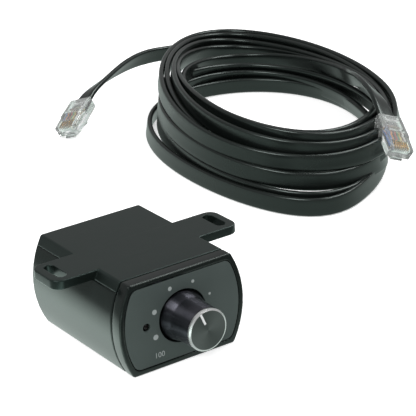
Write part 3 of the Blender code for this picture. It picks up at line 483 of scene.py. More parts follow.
# Nylon of hidden mouldings: dull black.
MOULDED_NYLON = Finish("moulded_nylon", "17181a", "202224", roughness=0.5, spread=0.06,
                       grain_mm=0.2, relief_mm=0.006, patch_mm=4.0, ior=1.53)
# Smoked red epoxy lens, unlit: nearly black with a deep red depth.
SMOKED_LENS = Finish("smoked_red_lens", "080405", "0e0506", roughness=0.10, spread=0.03,
                     grain_mm=0.4, relief_mm=0.001, patch_mm=2.0, ior=1.54, specular=0.2)
# Extruded flexible PVC: near black, its rounded shoulders catching grey-green light.
PVC_SHEATH = SheathFinish("extruded_pvc_sheath", "0a0d0c", "0f1312", roughness=0.29, spread=0.03,
                          grain_mm=0.9, relief_mm=0.006, patch_mm=22.0, ior=1.53, specular=0.55,
                          sheen_tint="e2f2ec")
# Screen-printed ink: soft pale grey, slightly raised.
PRINT_INK = Finish("screen_print_ink", "a2aaa9", "b0b8b6", roughness=0.55, spread=0.05,
                   grain_mm=0.1, relief_mm=0.002, patch_mm=1.5)
# White line filled with enamel.
LINE_ENAMEL = Finish("white_line_enamel", "e9ecec", "f4f6f6", roughness=0.35, spread=0.05,
                     grain_mm=0.1, relief_mm=0.002, patch_mm=1.0)

# Finish of each solid, by the start of its name. The longest start that fits is the one used.
NODE_FINISHES: dict[str, Finish] = {
    "housing": GLOSS_ABS, "top_cover": SATIN_ABS, "front_cap": GLOSS_ABS, "rear_cover": SATIN_ABS,
    "fascia_plate": FASCIA_FILM, "cover_screw": ZINC_STEEL, "control_knob": BLACK_ANODISED,
    "knob_face_disc": SPUN_ALUMINIUM, "control_shaft": NICKEL_BRASS,
    "control_bushing": NICKEL_BRASS, "control_nut": NICKEL_BRASS, "control_washer": ZINC_STEEL,
    "control_body": DRAWN_CAN, "switch_plunger": MOULDED_NYLON, "circuit_board": SOLDER_MASK,
    "board_screw": ZINC_STEEL, "controller_chip": MOULDED_EPOXY,
    "smoothing_capacitor": DRAWN_CAN, "indicator_led": SMOKED_LENS, "led_holder": MOULDED_NYLON,
    "socket_shell": MOULDED_NYLON, "socket_contacts": GOLD_FLASH, "lead_": PVC_SHEATH,
    "plug_a_contact": GOLD_FLASH, "plug_b_contact": GOLD_FLASH, "plug_": CLEAR_POLYCARBONATE,
}


def new_piece(name: str, mesh: bpy.types.Mesh, finishes: Sequence[bpy.types.Material], body: Body,
              smooth: bool = True) -> bpy.types.Object:
    """Put a finished mesh into the scene, riding on a body.

    Args:
        name: The piece's name.
        mesh: Its mesh, in the row frame.
        finishes: Its materials.
        body: What it moves with.
        smooth: Whether faces shade smoothly.

    Returns:
        The new object.
    """
    obj = bpy.data.objects.new(name, mesh)
    bpy.context.scene.collection.objects.link(obj)
    for material in finishes:
        mesh.materials.append(material)
    for face in mesh.polygons:
        face.use_smooth = smooth
    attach(obj, body.value)
    LOG.info("%s: %d faces on %s", name, len(mesh.polygons), body.value)
    return obj


def mesh_of(shape: bmesh.types.BMesh, name: str) -> bpy.types.Mesh:
    """Turn a finished shape into a mesh, and free the shape.

    Args:
        shape: The shape.
        name: Name of the mesh.

    Returns:
        The mesh.
    """
    mesh = bpy.data.meshes.new(name)
    shape.to_mesh(mesh)
    shape.free()
    return mesh


def knob_centre() -> Vector:
    """Centre of the front of the knob's face."""
    low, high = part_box("knob_face_disc")
    return Vector(((low.x + high.x) / 2, low.y, (low.z + high.z) / 2))


def smooth_path(knots: Sequence[Knot], step: float, divisions: int = 8) -> list[Knot]:
    """Even points on a smooth curve through the knots, each with its width direction.

    Args:
        knots: Places with width directions.
        step: Wanted spacing of the points.
        divisions: Straight bits that stand for the curve between two knots.

    Returns:
        Places with width directions, evenly spaced.
    """
    ends = [(2 * knots[0][0] - knots[1][0], knots[0][1])]
    ends += list(knots)
    ends.append((2 * knots[-1][0] - knots[-2][0], knots[-1][1]))
    fine: list[Knot] = []
    for before, start, stop, after in zip(ends, ends[1:], ends[2:], ends[3:]):
        for i in range(divisions):
            t = i / divisions
            place = (2 * start[0] + (stop[0] - before[0]) * t
                     + (2 * before[0] - 5 * start[0] + 4 * stop[0] - after[0]) * t ** 2
                     + (3 * start[0] - before[0] - 3 * stop[0] + after[0]) * t ** 3) / 2
            fine.append((place, start[1].lerp(stop[1], t).normalized()))
    fine.append(knots[-1])
    reach = [0.0]
    for first, second in zip(fine, fine[1:]):
        reach.append(reach[-1] + (second[0] - first[0]).length)
    count = ceil(reach[-1] / step)
    path: list[Knot] = []
    index = 0
    for i in range(count + 1):
        wanted = reach[-1] * i / count
        while index < len(fine) - 2 and reach[index + 1] < wanted:
            index += 1
        share = (wanted - reach[index]) / (reach[index + 1] - reach[index])
        path.append((fine[index][0].lerp(fine[index + 1][0], share),
                     fine[index][1].lerp(fine[index + 1][1], share).normalized()))
    return path


def swept_mesh(name: str, path: Sequence[Knot],
               outline: Sequence[tuple[float, float]]) -> bpy.types.Mesh:
    """Sweep a closed outline along a path and close its ends.

    Args:
        name: Name of the mesh.
        path: Places with width directions.
        outline: The section, as (along the width, along the thickness).

    Returns:
        The swept mesh.
    """
    shape = bmesh.new()
    rings = []
    for i, (place, width) in enumerate(path):
        ahead = path[min(i + 1, len(path) - 1)][0] - path[max(i - 1, 0)][0]
        ahead.normalize()
        across = (width - ahead * ahead.dot(width)).normalized()
        outward = ahead.cross(across)
        rings.append([shape.verts.new(place + across * u + outward * v) for u, v in outline])
    count = len(outline)
    for first, second in zip(rings, rings[1:]):
        for i in range(count):
            j = (i + 1) % count
            shape.faces.new((first[i], first[j], second[j], second[i]))
    shape.faces.new(list(reversed(rings[0])))
    shape.faces.new(rings[-1])
    bmesh.ops.recalc_face_normals(shape, faces=shape.faces)
    return mesh_of(shape, name)


@dataclass
class PlugPlace:
    """Where a plug lies.

    Args:
        nose: Centre of its front end.
        lengthwise: Direction from there to its cable.
        up: Direction in which its contacts face.
        length: From its front end to its rear end.
    """

    nose: Point
    lengthwise: Point
    up: Point
    length: float = 0.0215

    def matrix(self) -> Matrix:
        """Work out the plug's own frame, +Y towards the cable and +Z towards the contacts.

        Returns:
            The matrix from that frame to the model's.
        """
        y_axis = Vector(self.lengthwise).normalized()
        z_axis = Vector(self.up) - y_axis * y_axis.dot(Vector(self.up))
        z_axis.normalize()
        made = Matrix((y_axis.cross(z_axis), y_axis, z_axis)).transposed().to_4x4()
        made.translation = Vector(self.nose)
        return made

    def at(self, x: float, y: float, z: float) -> Vector:
        """A point given in the plug frame."""
        return self.matrix() @ Vector((x, y, z))

    def across(self) -> Vector:
        """Direction of the plug's width."""
        return self.matrix().to_3x3() @ Vector((1.0, 0.0, 0.0))


class CoreColour(Enum):
    """Sheath colours of the eight cores, in their order across the lead."""

    BLUE = "5b78ad"
    ORANGE = "cf9166"
    BLACK = "3a3d3f"
    RED = "b0605e"
    GREEN = "679a78"
    YELLOW = "d3c47e"
    BROWN = "86705f"
    WHITE = "e6e7e4"

    def finish(self) -> Finish:
        """Smooth thin-walled sheath of this colour."""
        return Finish(f"core_sheath_{self.name.lower()}", self.value, self.value, roughness=0.3,
                      spread=0.04, grain_mm=0.3, relief_mm=0.001, patch_mm=2.0, ior=1.52)


@dataclass
class PlugCores:
    """The bared cores inside a plug, fanned out from the lead to the contacts.

    Args:
        name: The piece's name.
        plug: The plug that they lie in.
        diameter: Over one core's sheath.
        lead_pitch: Spacing in the lead.
        plug_pitch: Spacing under the contacts.
        sides: Flat sides that stand for a core's round one.
        step: Spacing of the points along a core.
        stations: Distance behind the plug's nose and height, from lead to contacts.
    """

    name: str
    plug: PlugPlace
    diameter: float = 0.00090
    lead_pitch: float = 0.00092
    plug_pitch: float = 0.00102
    sides: int = 12
    step: float = 0.0008
    stations: tuple[Span, ...] = ((0.0150, 0.0), (0.0135, 0.0), (0.0115, 0.0006),
                                  (0.0095, 0.0010), (0.0030, 0.0010))

    def build(self) -> None:
        """Make the eight cores as one piece."""
        radius = self.diameter / 2
        angles = [tau * i / self.sides for i in range(self.sides)]
        outline = [(radius * cos(angle), radius * sin(angle)) for angle in angles]
        shape = bmesh.new()
        last = len(self.stations) - 1
        for index in range(len(CoreColour)):
            path = []
            for i, (behind, height) in enumerate(self.stations):
                fanned = min(1, i / (last - 1))
                pitch = self.lead_pitch + (self.plug_pitch - self.lead_pitch) * fanned
                aside = (index - (len(CoreColour) - 1) / 2) * pitch
                path.append((self.plug.at(aside, behind, height), self.plug.across()))
            done = len(shape.faces)
            single = swept_mesh("core", smooth_path(path, self.step), outline)
            shape.from_mesh(single)
            bpy.data.meshes.remove(single)
            shape.faces.ensure_lookup_table()
            for face in shape.faces[done:]:
                face.material_index = index
        sheaths = [colour.finish().build() for colour in CoreColour]
        new_piece(self.name, mesh_of(shape, self.name), sheaths, Body.UNIT)


@dataclass(frozen=True)
class Turn:
    """One turn of the coil, in millimetres: how far it reaches and how high its top edge stands.

    Args:
        reach: How far its outer face reaches from the coil's middle: near, far, left and right.
        tops: Height of its top edge in the same four places, near, far, left and right.
        egg: How much fuller the oval is towards its far end.
    """

    reach: tuple[float, float, float, float]
    tops: tuple[float, float, float, float]
    egg: float

    def outer_face(self, angle: float) -> Vector:
        """Find a point on the turn's outer face.

        Args:
            angle: Direction of the point from the coil's middle, 0 being the far end.

        Returns:
            The point in the coil's axes, at the height of its middle.
        """
        near, far, left, right = self.reach
        along = (far - near) / 2 + (far + near) / 2 * cos(angle)
        fullness = 1 + self.egg * cos(angle)
        across = (left - right) / 2 + (left + right) / 2 * fullness * sin(angle)
        return Vector((along, across, 0.0)) * MM

    def top(self, angle: float) -> float:
        """Height of the top edge, smoothly between its four values.

        Args:
            angle: Direction from the coil's middle, 0 being the far end.

        Returns:
            The height above the floor.
        """
        near, far, left, right = self.tops
        height = (near + far + left + right) / 4 + (near + far - left - right) / 4 * cos(2 * angle)
        return (height + (far - near) / 2 * cos(angle) + (left - right) / 2 * sin(angle)) * MM


@dataclass
class FlatLead:
    """The flat eight-core lead: a loose oval coil on its edge, with a plug on each end.

    Args:
        width: Across the flat of the lead.
        thickness: Through the lead.
        edge_radius: Radius of its shoulders.
        hollow: How far its flat faces dip in their middle.
        corner_steps: Flat bits that stand for one shoulder's quarter round.
        step: Spacing of the points along it.
        middle: Middle of the coil, on the floor.
        heading: Direction of the coil's far end.
        knot_spacing: Angle round the coil from one knot to the next.
        look_ahead: Angle over which the lead's direction is taken.
        start_angle: Where round the coil the lead joins it.
        end_angle: Where round the coil the lead leaves it.
        change_angle: Where each turn passes into the next.
        change_spread: Angle that this takes on either side.
        lean_most: Greatest lean inwards of the standing lead.
        lean_least: Least lean.
        lean_angle: Where round the coil it leans most.
        jacket_inside: Length of sheath inside a plug.
        exit_gap: Distance behind a plug at which the lead is free.
        straight: Length over which it then runs straight on.
        turns: The turns of the coil, from the first plug to the second.
        plug_a: Where the first plug lies.
        plug_b: Where the second plug lies.
        tail_a: Knots between the first plug and the coil.
        tail_b: Knots between the second plug and the coil.
    """

    width: float = 0.0080
    thickness: float = 0.0024
    edge_radius: float = 0.0010
    hollow: float = 0.00008
    corner_steps: int = 4
    step: float = 0.0045
    middle: Point = (0.1545, 0.1455, 0.0)
    heading: float = radians(69.4)
    knot_spacing: float = radians(8)
    look_ahead: float = 0.01
    start_angle: float = radians(5)
    end_angle: float = radians(-79)
    change_angle: float = radians(-130)
    change_spread: float = radians(26)
    lean_most: float = radians(17)
    lean_least: float = radians(4)
    lean_angle: float = radians(-40)
    jacket_inside: float = 0.0072
    exit_gap: float = 0.0003
    straight: float = 0.0022
    turns: tuple[Turn, ...] = (
        Turn((101.0, 101.5, 50.0, 54.0), (8.25, 10.0, 18.0, 9.5), -0.1),
        Turn((103.4, 62.5, 46.8, 53.6), (8.3, 8.3, 8.3, 8.3), 0.24),
        Turn((97.0, 65.0, 43.2, 54.5), (8.4, 12.0, 12.0, 9.5), 0.1),
        Turn((90.4, 67.5, 43.6, 58.0), (14.3, 15.0, 20.5, 14.6), 0.0),
        Turn((87.4, 97.0, 41.0, 61.0), (21.5, 24.0, 28.5, 25.0), -0.2),
        Turn((84.6, 94.5, 38.0, 59.0), (15.6, 23.0, 28.5, 23.5), -0.2),
        Turn((83.8, 91.0, 35.0, 57.0), (25.6, 21.0, 31.5, 23.5), -0.2),
        Turn((81.0, 87.0, 31.8, 55.0), (28.8, 18.5, 31.5, 23.8), -0.1),
        Turn((78.2, 77.0, 29.0, 53.0), (29.0, 16.5, 27.5, 25.0), 0.0),
    )
    plug_a: PlugPlace = field(default_factory=lambda: PlugPlace(
        (0.0860, 0.2003, 0.0046), (0.777, 0.533, 0.335), (-0.444, 0.087, 0.892)))
    plug_b: PlugPlace = field(default_factory=lambda: PlugPlace(
        (0.1656, 0.0510, 0.0160), (0.361, 0.830, 0.425), (0.195, -0.513, 0.836)))
    tail_a: tuple[Point, ...] = ((0.1105, 0.2165, 0.0146), (0.1203, 0.2222, 0.0156),
                                 (0.1300, 0.2280, 0.0160), (0.1395, 0.2330, 0.0163),
                                 (0.1500, 0.2380, 0.0160), (0.1600, 0.2412, 0.0153),
                                 (0.1700, 0.2428, 0.0142), (0.1820, 0.2418, 0.0128))
    tail_b: tuple[Point, ...] = ((0.1768, 0.0770, 0.0292), (0.1797, 0.0840, 0.0309),
                                 (0.1840, 0.0950, 0.0314), (0.1895, 0.1075, 0.0298),
                                 (0.1955, 0.1200, 0.0262))

    def run_at(self, turned: float) -> tuple[Vector, float, float]:
        """Where the lead is after some turns.

        Args:
            turned: Angle made since the lead joined the coil.

        Returns:
            Outer face's point in the coil's axes, height of the top edge, and lean.
        """
        angle = self.start_angle - turned
        passed = (self.change_angle - angle) / tau + 1
        index = int(passed)
        share = passed - index
        spread = self.change_spread / tau
        if share < spread and index > 0:
            before, after, mix = index - 1, index, 0.5 + 0.5 * share / spread
        elif share > 1 - spread:
            before, after, mix = index, index + 1, 0.5 - 0.5 * (1 - share) / spread
        else:
            before, after, mix = index, index, 0.0
        mix = mix * mix * (3 - 2 * mix)
        first, second = self.turns[before], self.turns[min(after, len(self.turns) - 1)]
        face = first.outer_face(angle).lerp(second.outer_face(angle), mix)
        top = first.top(angle) * (1 - mix) + second.top(angle) * mix
        share = (1 + cos(angle - self.lean_angle)) / 2
        return face, top, self.lean_least + (self.lean_most - self.lean_least) * share

    def coil_knots(self) -> list[Knot]:
        """Lay out the coiled stretch.

        Returns:
            Its knots, in the order the lead runs.
        """
        total = (len(self.turns) - 1) * tau + self.start_angle - self.end_angle
        count = ceil(total / self.knot_spacing)
        to_floor = Matrix.Translation(self.middle) @ Matrix.Rotation(self.heading, 4, "Z")
        knots = []
        for i in range(count + 1):
            turned = total * i / count
            face, top, lean = self.run_at(turned)
            ahead = (self.run_at(turned + self.look_ahead)[0] - face).normalized()
            outward = UP.cross(ahead)
            upward = UP * cos(lean) - outward * sin(lean)
            square = outward * cos(lean) + UP * sin(lean)
            place = face + UP * top - upward * self.width / 2
            place -= square * self.thickness / 2
            knots.append((to_floor @ place, to_floor.to_3x3() @ upward))
        return knots

    def plug_knots(self, plug: PlugPlace) -> list[Knot]:
        """Lay out the lead's first stretch behind a plug.

        Args:
            plug: The plug that it comes out of.

        Returns:
            Its knots, from inside the plug outwards.
        """
        wide = plug.across()
        if wide.z < 0:
            wide = -wide
        rear = plug.length + self.exit_gap
        return [(plug.at(0.0, behind, 0.0), wide)
                for behind in (rear - self.jacket_inside, rear, rear + self.straight)]

    def knots(self) -> list[Knot]:
        """Lay out the whole lead.

        Returns:
            Its knots, from inside the first plug to inside the second.
        """
        knots, ending = self.plug_knots(self.plug_a), self.plug_knots(self.plug_b)
        wide_a, wide_b = knots[0][1], ending[0][1]
        coil = self.coil_knots()
        first, last = coil[0][1], coil[-1][1]
        for i, place in enumerate(self.tail_a):
            share = min((i + 1) / (len(self.tail_a) - 2), 1.0)
            knots.append((Vector(place), wide_a.lerp(first, share).normalized()))
        knots += coil
        for i, place in enumerate(reversed(self.tail_b)):
            share = (i + 1) / (len(self.tail_b) + 1)
            knots.append((Vector(place), last.lerp(wide_b, share).normalized()))
        knots += reversed(ending)
        return knots

    def section(self) -> list[Span]:
        """Draw the flat section, with round shoulders and faces that are slightly hollow.

        Returns:
            Its points, as (along the width, along the thickness).
        """
        points = []
        half_width = self.width / 2 - self.edge_radius
        half_thick = self.thickness / 2 - self.edge_radius
        for corner, (sign_u, sign_v) in enumerate(((1, 1), (-1, 1), (-1, -1), (1, -1))):
            for i in range(self.corner_steps + 1):
                angle = (corner + i / self.corner_steps) * pi / 2
                points.append((sign_u * half_width + self.edge_radius * cos(angle),
                               sign_v * half_thick + self.edge_radius * sin(angle)))
            if sign_u == sign_v:
                for share in (0.5, 0.0, -0.5):
                    depth = self.hollow * (1 - abs(share))
                    points.append((sign_u * half_width * share,
                                   sign_v * (self.thickness / 2 - depth)))
        return points

    def build(self) -> None:
        path = smooth_path(self.knots(), self.step)
        lead = new_piece("flat_lead", swept_mesh("flat_lead", path, self.section()),
                         [PVC_SHEATH.build()], Body.UNIT)
        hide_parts("lead_coil", "lead_tail_a", "lead_tail_b")
        rear = self.plug_a.length + self.exit_gap
        tuple(self.plug_a.at(0.0, rear, 0.0))
        PlugCores("plug_a_cores", self.plug_a).build()
        PlugCores("plug_b_cores", self.plug_b).build()


@dataclass
class Fascia:
    """Printed scale round the knob.

    Args:
        ring_radius: From the knob's axis to the middle of each dot.
        first_angle: Direction of the first dot from the axis, anticlockwise from the right.
        spacing: Angle from one dot to the next.
        diameters: Of the dots, in their order.
        dot_sides: Flat sides that stand for a dot's round one.
        dot_taper: Diameter of a dot's outer face over its own.
        print_height: Thickness of the ink.
        number: What stands at the end of the scale.
        number_place: Its middle, to the right of the axis and above it.
        number_height: Height of its digits.
        font_ratio: Size of the font over the height of its digits.
        ink_spread: How far the ink runs past the digits' outline.
    """

    ring_radius: float = 0.0130
    first_angle: float = radians(-22.5)
    spacing: float = radians(45)
    diameters: tuple[float, ...] = (0.00075, 0.0010, 0.0013, 0.00165, 0.0020, 0.00215)
    dot_sides: int = 32
    dot_taper: float = 0.97
    print_height: float = 0.00003
    number: str = "100"
    number_place: Span = (-0.01075, -0.0124)
    number_height: float = 0.0021
    font_ratio: float = 1.42
    ink_spread: float = 0.00001

    def centre(self) -> Vector:
        """Centre of the knob, brought to the fascia's plane."""
        centre = knob_centre()
        return Vector((centre.x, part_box("fascia_plate")[0].y, centre.z))

    def build(self) -> None:
        """Print the dots and the number."""
        centre = self.centre()
        shape = bmesh.new()
        for i, diameter in enumerate(self.diameters):
            angle = self.first_angle + i * self.spacing
            place = centre + Vector((cos(angle), 0.0, sin(angle))) * self.ring_radius
            made = bmesh.ops.create_cone(shape, cap_ends=True, segments=self.dot_sides,
                                         radius1=diameter / 2,
                                         radius2=diameter / 2 * self.dot_taper,
                                         depth=self.print_height)
            turn = Matrix.Translation(place) @ Matrix.Rotation(pi / 2, 4, "X")
            bmesh.ops.transform(shape, matrix=turn, verts=made["verts"])
        new_piece("scale_dots", mesh_of(shape, "scale_dots"), [PRINT_INK.build()], Body.UNIT,
                  smooth=False)
        self.build_number(centre)

    def build_number(self, centre: Vector) -> None:
        """Print the end-of-scale number.

        Args:
            centre: Centre of the knob on the fascia's plane.
        """
        text = bpy.data.curves.new("scale_number", "FONT")
        text.body = self.number
        text.size = self.number_height * self.font_ratio
        text.align_x, text.align_y = "CENTER", "CENTER"
        text.extrude = self.print_height / 2
        text.offset = self.ink_spread
        words = bpy.data.objects.new("scale_number_text", text)
        bpy.context.scene.collection.objects.link(words)
        bpy.context.view_layer.update()
        shown = words.evaluated_get(bpy.context.evaluated_depsgraph_get())
        mesh = bpy.data.meshes.new_from_object(shown)
        bpy.data.objects.remove(words)
        place = centre + Vector((self.number_place[0], 0.0, self.number_place[1]))
        mesh.transform(Matrix.Translation(place) @ Matrix.Rotation(pi / 2, 4, "X"))
        mesh.materials.clear()
        new_piece("scale_number", mesh, [PRINT_INK.build()], Body.UNIT, smooth=False)


@dataclass
class KnobLine:
    """Index line let into the knob's face.

    Args:
        angle: Its direction from the knob's axis, anticlockwise from the right.
        inner_radius: Where it starts.
        outer_radius: Where it ends.
        width: Across the line.
        proud: How far it stands out of the face.
        edge_radius: Radius of its edges.
        edge_steps: Flat bits that stand for an edge's round.
    """

    angle: float = radians(112.5)
    inner_radius: float = 0.0028
    outer_radius: float = 0.0074
    width: float = 0.00085
    proud: float = 0.00004
    edge_radius: float = 0.00003
    edge_steps: int = 2

    def build(self) -> None:
        """Make the line."""
        shape = bmesh.new()
        bmesh.ops.create_cube(shape, size=1.0)
        length = self.outer_radius - self.inner_radius
        for corner in shape.verts:
            corner.co = Vector((corner.co.x * length, corner.co.y * self.proud * 2,
                                corner.co.z * self.width))
        bmesh.ops.bevel(shape, geom=shape.edges[:], offset=self.edge_radius,
                        segments=self.edge_steps, affect="EDGES")
        middle = (self.outer_radius + self.inner_radius) / 2
        matrix = (Matrix.Translation(knob_centre()) @ Matrix.Rotation(-self.angle, 4, "Y")
                  @ Matrix.Translation((middle, 0.0, 0.0)))
        bmesh.ops.transform(shape, matrix=matrix, verts=shape.verts)
        new_piece("knob_index_line", mesh_of(shape, "knob_index_line"), [LINE_ENAMEL.build()],
                  Body.KNOB, smooth=False)


@dataclass
class Lamp:
    """One soft area light.

    Args:
        name: Its name.
        place: Where it hangs.
        size: Its width and height.
        watts: Its power.
        target: Where it points.
    """

    name: str
    place: Point
    size: Span
    watts: float
    target: Point = (0.05, 0.05, 0.0)

    def build(self) -> None:
        """Hang the light."""
        data = bpy.data.lights.new(self.name, "AREA")
        data.shape = "RECTANGLE"
        data.size, data.size_y = self.size
        data.energy = self.watts
        obj = bpy.data.objects.new(self.name, data)
        obj.location = self.place
        aim = Vector(self.target) - Vector(self.place)
        obj.rotation_euler = aim.to_track_quat("-Z", "Y").to_euler()
        bpy.context.scene.collection.objects.link(obj)


@dataclass
class Studio:
    """Camera, pale floor and soft lights.

    Args:
        eye: Where the camera stands.
        target: What it looks at.
        roll: How far it leans.
        lens: Its focal length in mm.
        sensor: Width of its sensor in mm.
        clip: Nearest and farthest that it sees.
        floor_reach: Half the floor's width.
        floor_drop: How far the floor lies under the object.
        paper: Grey of the floor.
        paper_seen: Grey of the floor where it is seen.
        lift: Light added there, near the object and far away.
        lift_span: Distances from the model's origin between which that changes.
        glow: Brightness of the floor as the gloss mirrors it.
        front_glow: The same in front of the object.
        front_span: Y from which and up to which front_glow passes into glow.
        left_glow: The same at the object's left.
        left_span: X from which and down to which it takes over.
        faded_glow: Share of any of these that is left farther out at the left.
        fading_span: X from which and down to which it fades.
        room_tint: Colour of the room as the gloss mirrors it.
        room_fill: Strength of the room's even light.
        lamps: The softboxes.
    """

    eye: Point = (-0.3318, -0.5270, 0.3131)
    target: Point = (0.0130, -0.0224, 0.0562)
    roll: float = radians(-2.626)
    lens: float = 161.77
    sensor: float = 36.0
    clip: Span = (0.01, 20.0)
    floor_reach: float = 4.0
    floor_drop: float = 0.00005
    paper: float = 0.80
    paper_seen: float = 0.92
    lift: Span = (0.52, 1.0)
    lift_span: Span = (0.4, 1.8)
    glow: float = 0.85
    front_glow: float = 0.28
    front_span: Span = (-0.07, -0.02)
    left_glow: float = 2.75
    left_span: Span = (-0.015, -0.045)
    faded_glow: float = 0.14
    fading_span: Span = (-0.03, -0.11)
    room_tint: str = "e4f2ec"
    room_fill: float = 0.34
    lamps: tuple[Lamp, ...] = (
        Lamp("left_softbox", (-0.66, -0.14, 0.90), (0.5, 0.6), 8.5),
        Lamp("right_softbox", (0.74, 0.08, 0.86), (0.4, 0.6), 6.5),
        Lamp("front_softbox", (0.50, -0.70, 0.98), (0.4, 0.4), 2.5),
    )

    def build_camera(self) -> None:
        """Set up the camera."""
        data = bpy.data.cameras.new("camera")
        data.lens, data.sensor_width = self.lens, self.sensor
        data.clip_start, data.clip_end = self.clip
        camera = bpy.data.objects.new("camera", data)
        bpy.context.scene.collection.objects.link(camera)
        ahead = (Vector(self.target) - Vector(self.eye)).normalized()
        level = ahead.cross(UP).normalized()
        upright = level.cross(ahead)
        right = level * cos(self.roll) + upright * sin(self.roll)
        up = right.cross(ahead)
        matrix = Matrix((right, up, -ahead)).transposed().to_4x4()
        matrix.translation = Vector(self.eye)
        camera.matrix_world = matrix
        bpy.context.scene.camera = camera

    def seen_rays(self, tree: NodeTree) -> Socket:
        """Tell where a surface is seen, straight or through something clear.

        Args:
            tree: The nodes of the floor or the world.

        Returns:
            The socket, 1 where it is seen and 0 elsewhere.
        """
        rays = add_node(tree, "LightPath")
        seen = add_node(tree, "Math", {"operation": "MAXIMUM"},
                        {"0": rays.outputs["Is Camera Ray"],
                         "1": rays.outputs["Is Transmission Ray"]})
        return seen.outputs["Value"]

    def mirrored_floor(self, tree: NodeTree) -> Node:
        """What the gloss mirrors of the floor: dim in front, bright at the left, then fading.

        Args:
            tree: The floor's nodes.

        Returns:
            The shader node.
        """
        smooth = {"interpolation_type": "SMOOTHSTEP"}
        where = add_node(tree, "NewGeometry").outputs["Position"]
        parts = add_node(tree, "SeparateXYZ", links={"Vector": where})
        front = add_node(tree, "MapRange", smooth, {"Value": parts.outputs["Y"]},
                         i1=self.front_span[0], i2=self.front_span[1], i3=self.front_glow,
                         i4=self.glow)
        side = add_node(tree, "MapRange", smooth,
                        {"Value": parts.outputs["X"], "3": front.outputs["Result"]},
                        i1=self.left_span[0], i2=self.left_span[1], i4=self.left_glow)
        fading = add_node(tree, "MapRange", smooth, {"Value": parts.outputs["X"]},
                          i1=self.fading_span[0], i2=self.fading_span[1], i3=1.0,
                          i4=self.faded_glow)
        glow = add_node(tree, "Math", {"operation": "MULTIPLY"},
                        {"0": side.outputs["Result"], "1": fading.outputs["Result"]})
        return add_node(tree, "Emission", links={"Strength": glow.outputs["Value"]},
                        Color=linear(self.room_tint))

    def build_floor(self) -> None:
        """Lay the pale floor, which keeps the object's shadow."""
        mesh = bpy.data.meshes.new("floor")
        reach = self.floor_reach
        mesh.from_pydata([(-reach, -reach, 0), (reach, -reach, 0), (reach, reach, 0),
                          (-reach, reach, 0)], [], [(0, 1, 2, 3)])
        floor = bpy.data.objects.new("floor", mesh)
        bpy.context.scene.collection.objects.link(floor)
        floor.location.z = -self.floor_drop
        paper = bpy.data.materials.new("white_paper_sweep")
        paper.use_nodes = True
        tree = paper.node_tree
        tree.nodes.clear()
        plain = add_node(tree, "BsdfDiffuse", Color=grey(self.paper))
        bright = add_node(tree, "BsdfDiffuse", Color=grey(self.paper_seen))
        away = add_node(tree, "VectorMath", {"operation": "LENGTH"},
                        {"0": add_node(tree, "NewGeometry").outputs["Position"]})
        level = add_node(tree, "MapRange", {"interpolation_type": "SMOOTHSTEP"},
                         {"Value": away.outputs["Value"]}, i1=self.lift_span[0],
                         i2=self.lift_span[1], i3=self.lift[0], i4=self.lift[1])
        lift = add_node(tree, "Emission", links={"Strength": level.outputs["Result"]},
                        Color=grey(1.0))
        lifted = add_node(tree, "AddShader", links={"0": bright.outputs[0], "1": lift.outputs[0]})
        both = add_node(tree, "MixShader", links={"0": self.seen_rays(tree),
                                                  "1": plain.outputs[0], "2": lifted.outputs[0]})
        glossy = add_node(tree, "LightPath").outputs["Is Glossy Ray"]
        every = add_node(tree, "MixShader", links={"0": glossy, "1": both.outputs[0],
                                                   "2": self.mirrored_floor(tree).outputs[0]})
        add_node(tree, "OutputMaterial", links={"Surface": every.outputs[0]})
        mesh.materials.append(paper)

    def build_world(self) -> None:
        """Fill the room with even pale light, and show it white where it is seen."""
        world = bpy.data.worlds.new("studio")
        bpy.context.scene.world = world
        world.use_nodes = True
        tree = world.node_tree
        tree.nodes.clear()
        fill = add_node(tree, "Background", Color=grey(1.0), Strength=self.room_fill)
        white = add_node(tree, "Background", Color=grey(1.0), Strength=1.0)
        both = add_node(tree, "MixShader", links={"0": self.seen_rays(tree),
                                                  "1": fill.outputs[0], "2": white.outputs[0]})
        add_node(tree, "OutputWorld", links={"Surface": both.outputs[0]})

    def build(self) -> None:
        """Set up the whole studio."""
        self.build_camera()
        self.build_floor()
        self.build_world()
        for lamp in self.lamps:
            lamp.build()
        bpy.context.scene.view_settings.view_transform = "Standard"


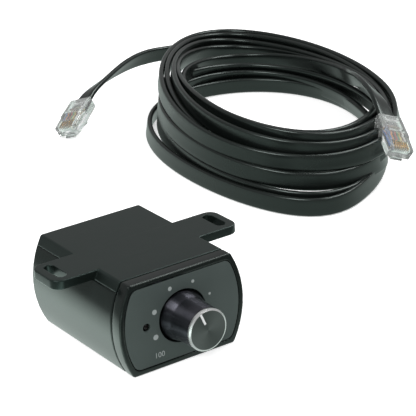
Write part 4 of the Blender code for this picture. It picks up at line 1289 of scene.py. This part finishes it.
@dataclass(frozen=True)
class SoftShading:
    """Shading that runs smoothly over a moulding's curved sides and breaks at its true edges.

    Args:
        join: Corners closer than this count as one, in metres.
        limit: Least angle between two faces that meet at a true edge.
        face_weight: How far large faces decide over small ones, 100 being all the way.
    """

    join: float = 1e-6
    limit: float = radians(28)
    face_weight: int = 100

    def build(self) -> NodeTree:
        """Make the node group that shades a mesh in this way.

        Returns:
            The group, for a Nodes modifier.
        """
        tree = bpy.data.node_groups.new("soft_shading", "GeometryNodeTree")
        for way in ("INPUT", "OUTPUT"):
            tree.interface.new_socket("Geometry", in_out=way, socket_type="NodeSocketGeometry")
        source = add_node(tree, "NodeGroupInput")
        joined = add_node(tree, "GeometryNodeMergeByDistance",
                          links={"Geometry": source.outputs["Geometry"]}, Distance=self.join)
        faces = add_node(tree, "GeometryNodeSetShadeSmooth", {"domain": "FACE"},
                         {"Geometry": joined.outputs["Geometry"]})
        angle = add_node(tree, "GeometryNodeInputMeshEdgeAngle")
        true_edge = add_node(tree, "ShaderNodeMath", {"operation": "GREATER_THAN"},
                             {"0": angle.outputs["Unsigned Angle"]}, i1=self.limit)
        edges = add_node(tree, "GeometryNodeSetShadeSmooth", {"domain": "EDGE"},
                         {"Geometry": faces.outputs["Geometry"],
                          "Selection": true_edge.outputs[0]}, Shade_Smooth=False)
        add_node(tree, "NodeGroupOutput", links={"Geometry": edges.outputs["Geometry"]})
        return tree


def dress_nodes() -> None:
    """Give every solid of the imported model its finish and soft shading."""
    shading = SoftShading()
    group = shading.build()
    for name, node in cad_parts.items():
        fitting = [start for start in NODE_FINISHES if name.startswith(start)]
        material = NODE_FINISHES[max(fitting, key=len)].build()
        if not node.material_slots:
            node.data.materials.append(material)
        for holder in node.material_slots:
            holder.material = material
        node.modifiers.new("soft_shading", "NODES").node_group = group
        weighted = node.modifiers.new("flat_faces_stay_flat", "WEIGHTED_NORMAL")
        weighted.mode, weighted.weight = "FACE_AREA", shading.face_weight
        weighted.keep_sharp = True
        LOG.info("%s: %s", name, material.name)


def main() -> None:
    """Dress the model."""
    logging.basicConfig(level=logging.INFO, format="%(name)s %(message)s")
    Studio().build()
    dress_nodes()
    FlatLead().build()
    Fascia().build()
    KnobLine().build()


if __name__ == "__main__":
    main()
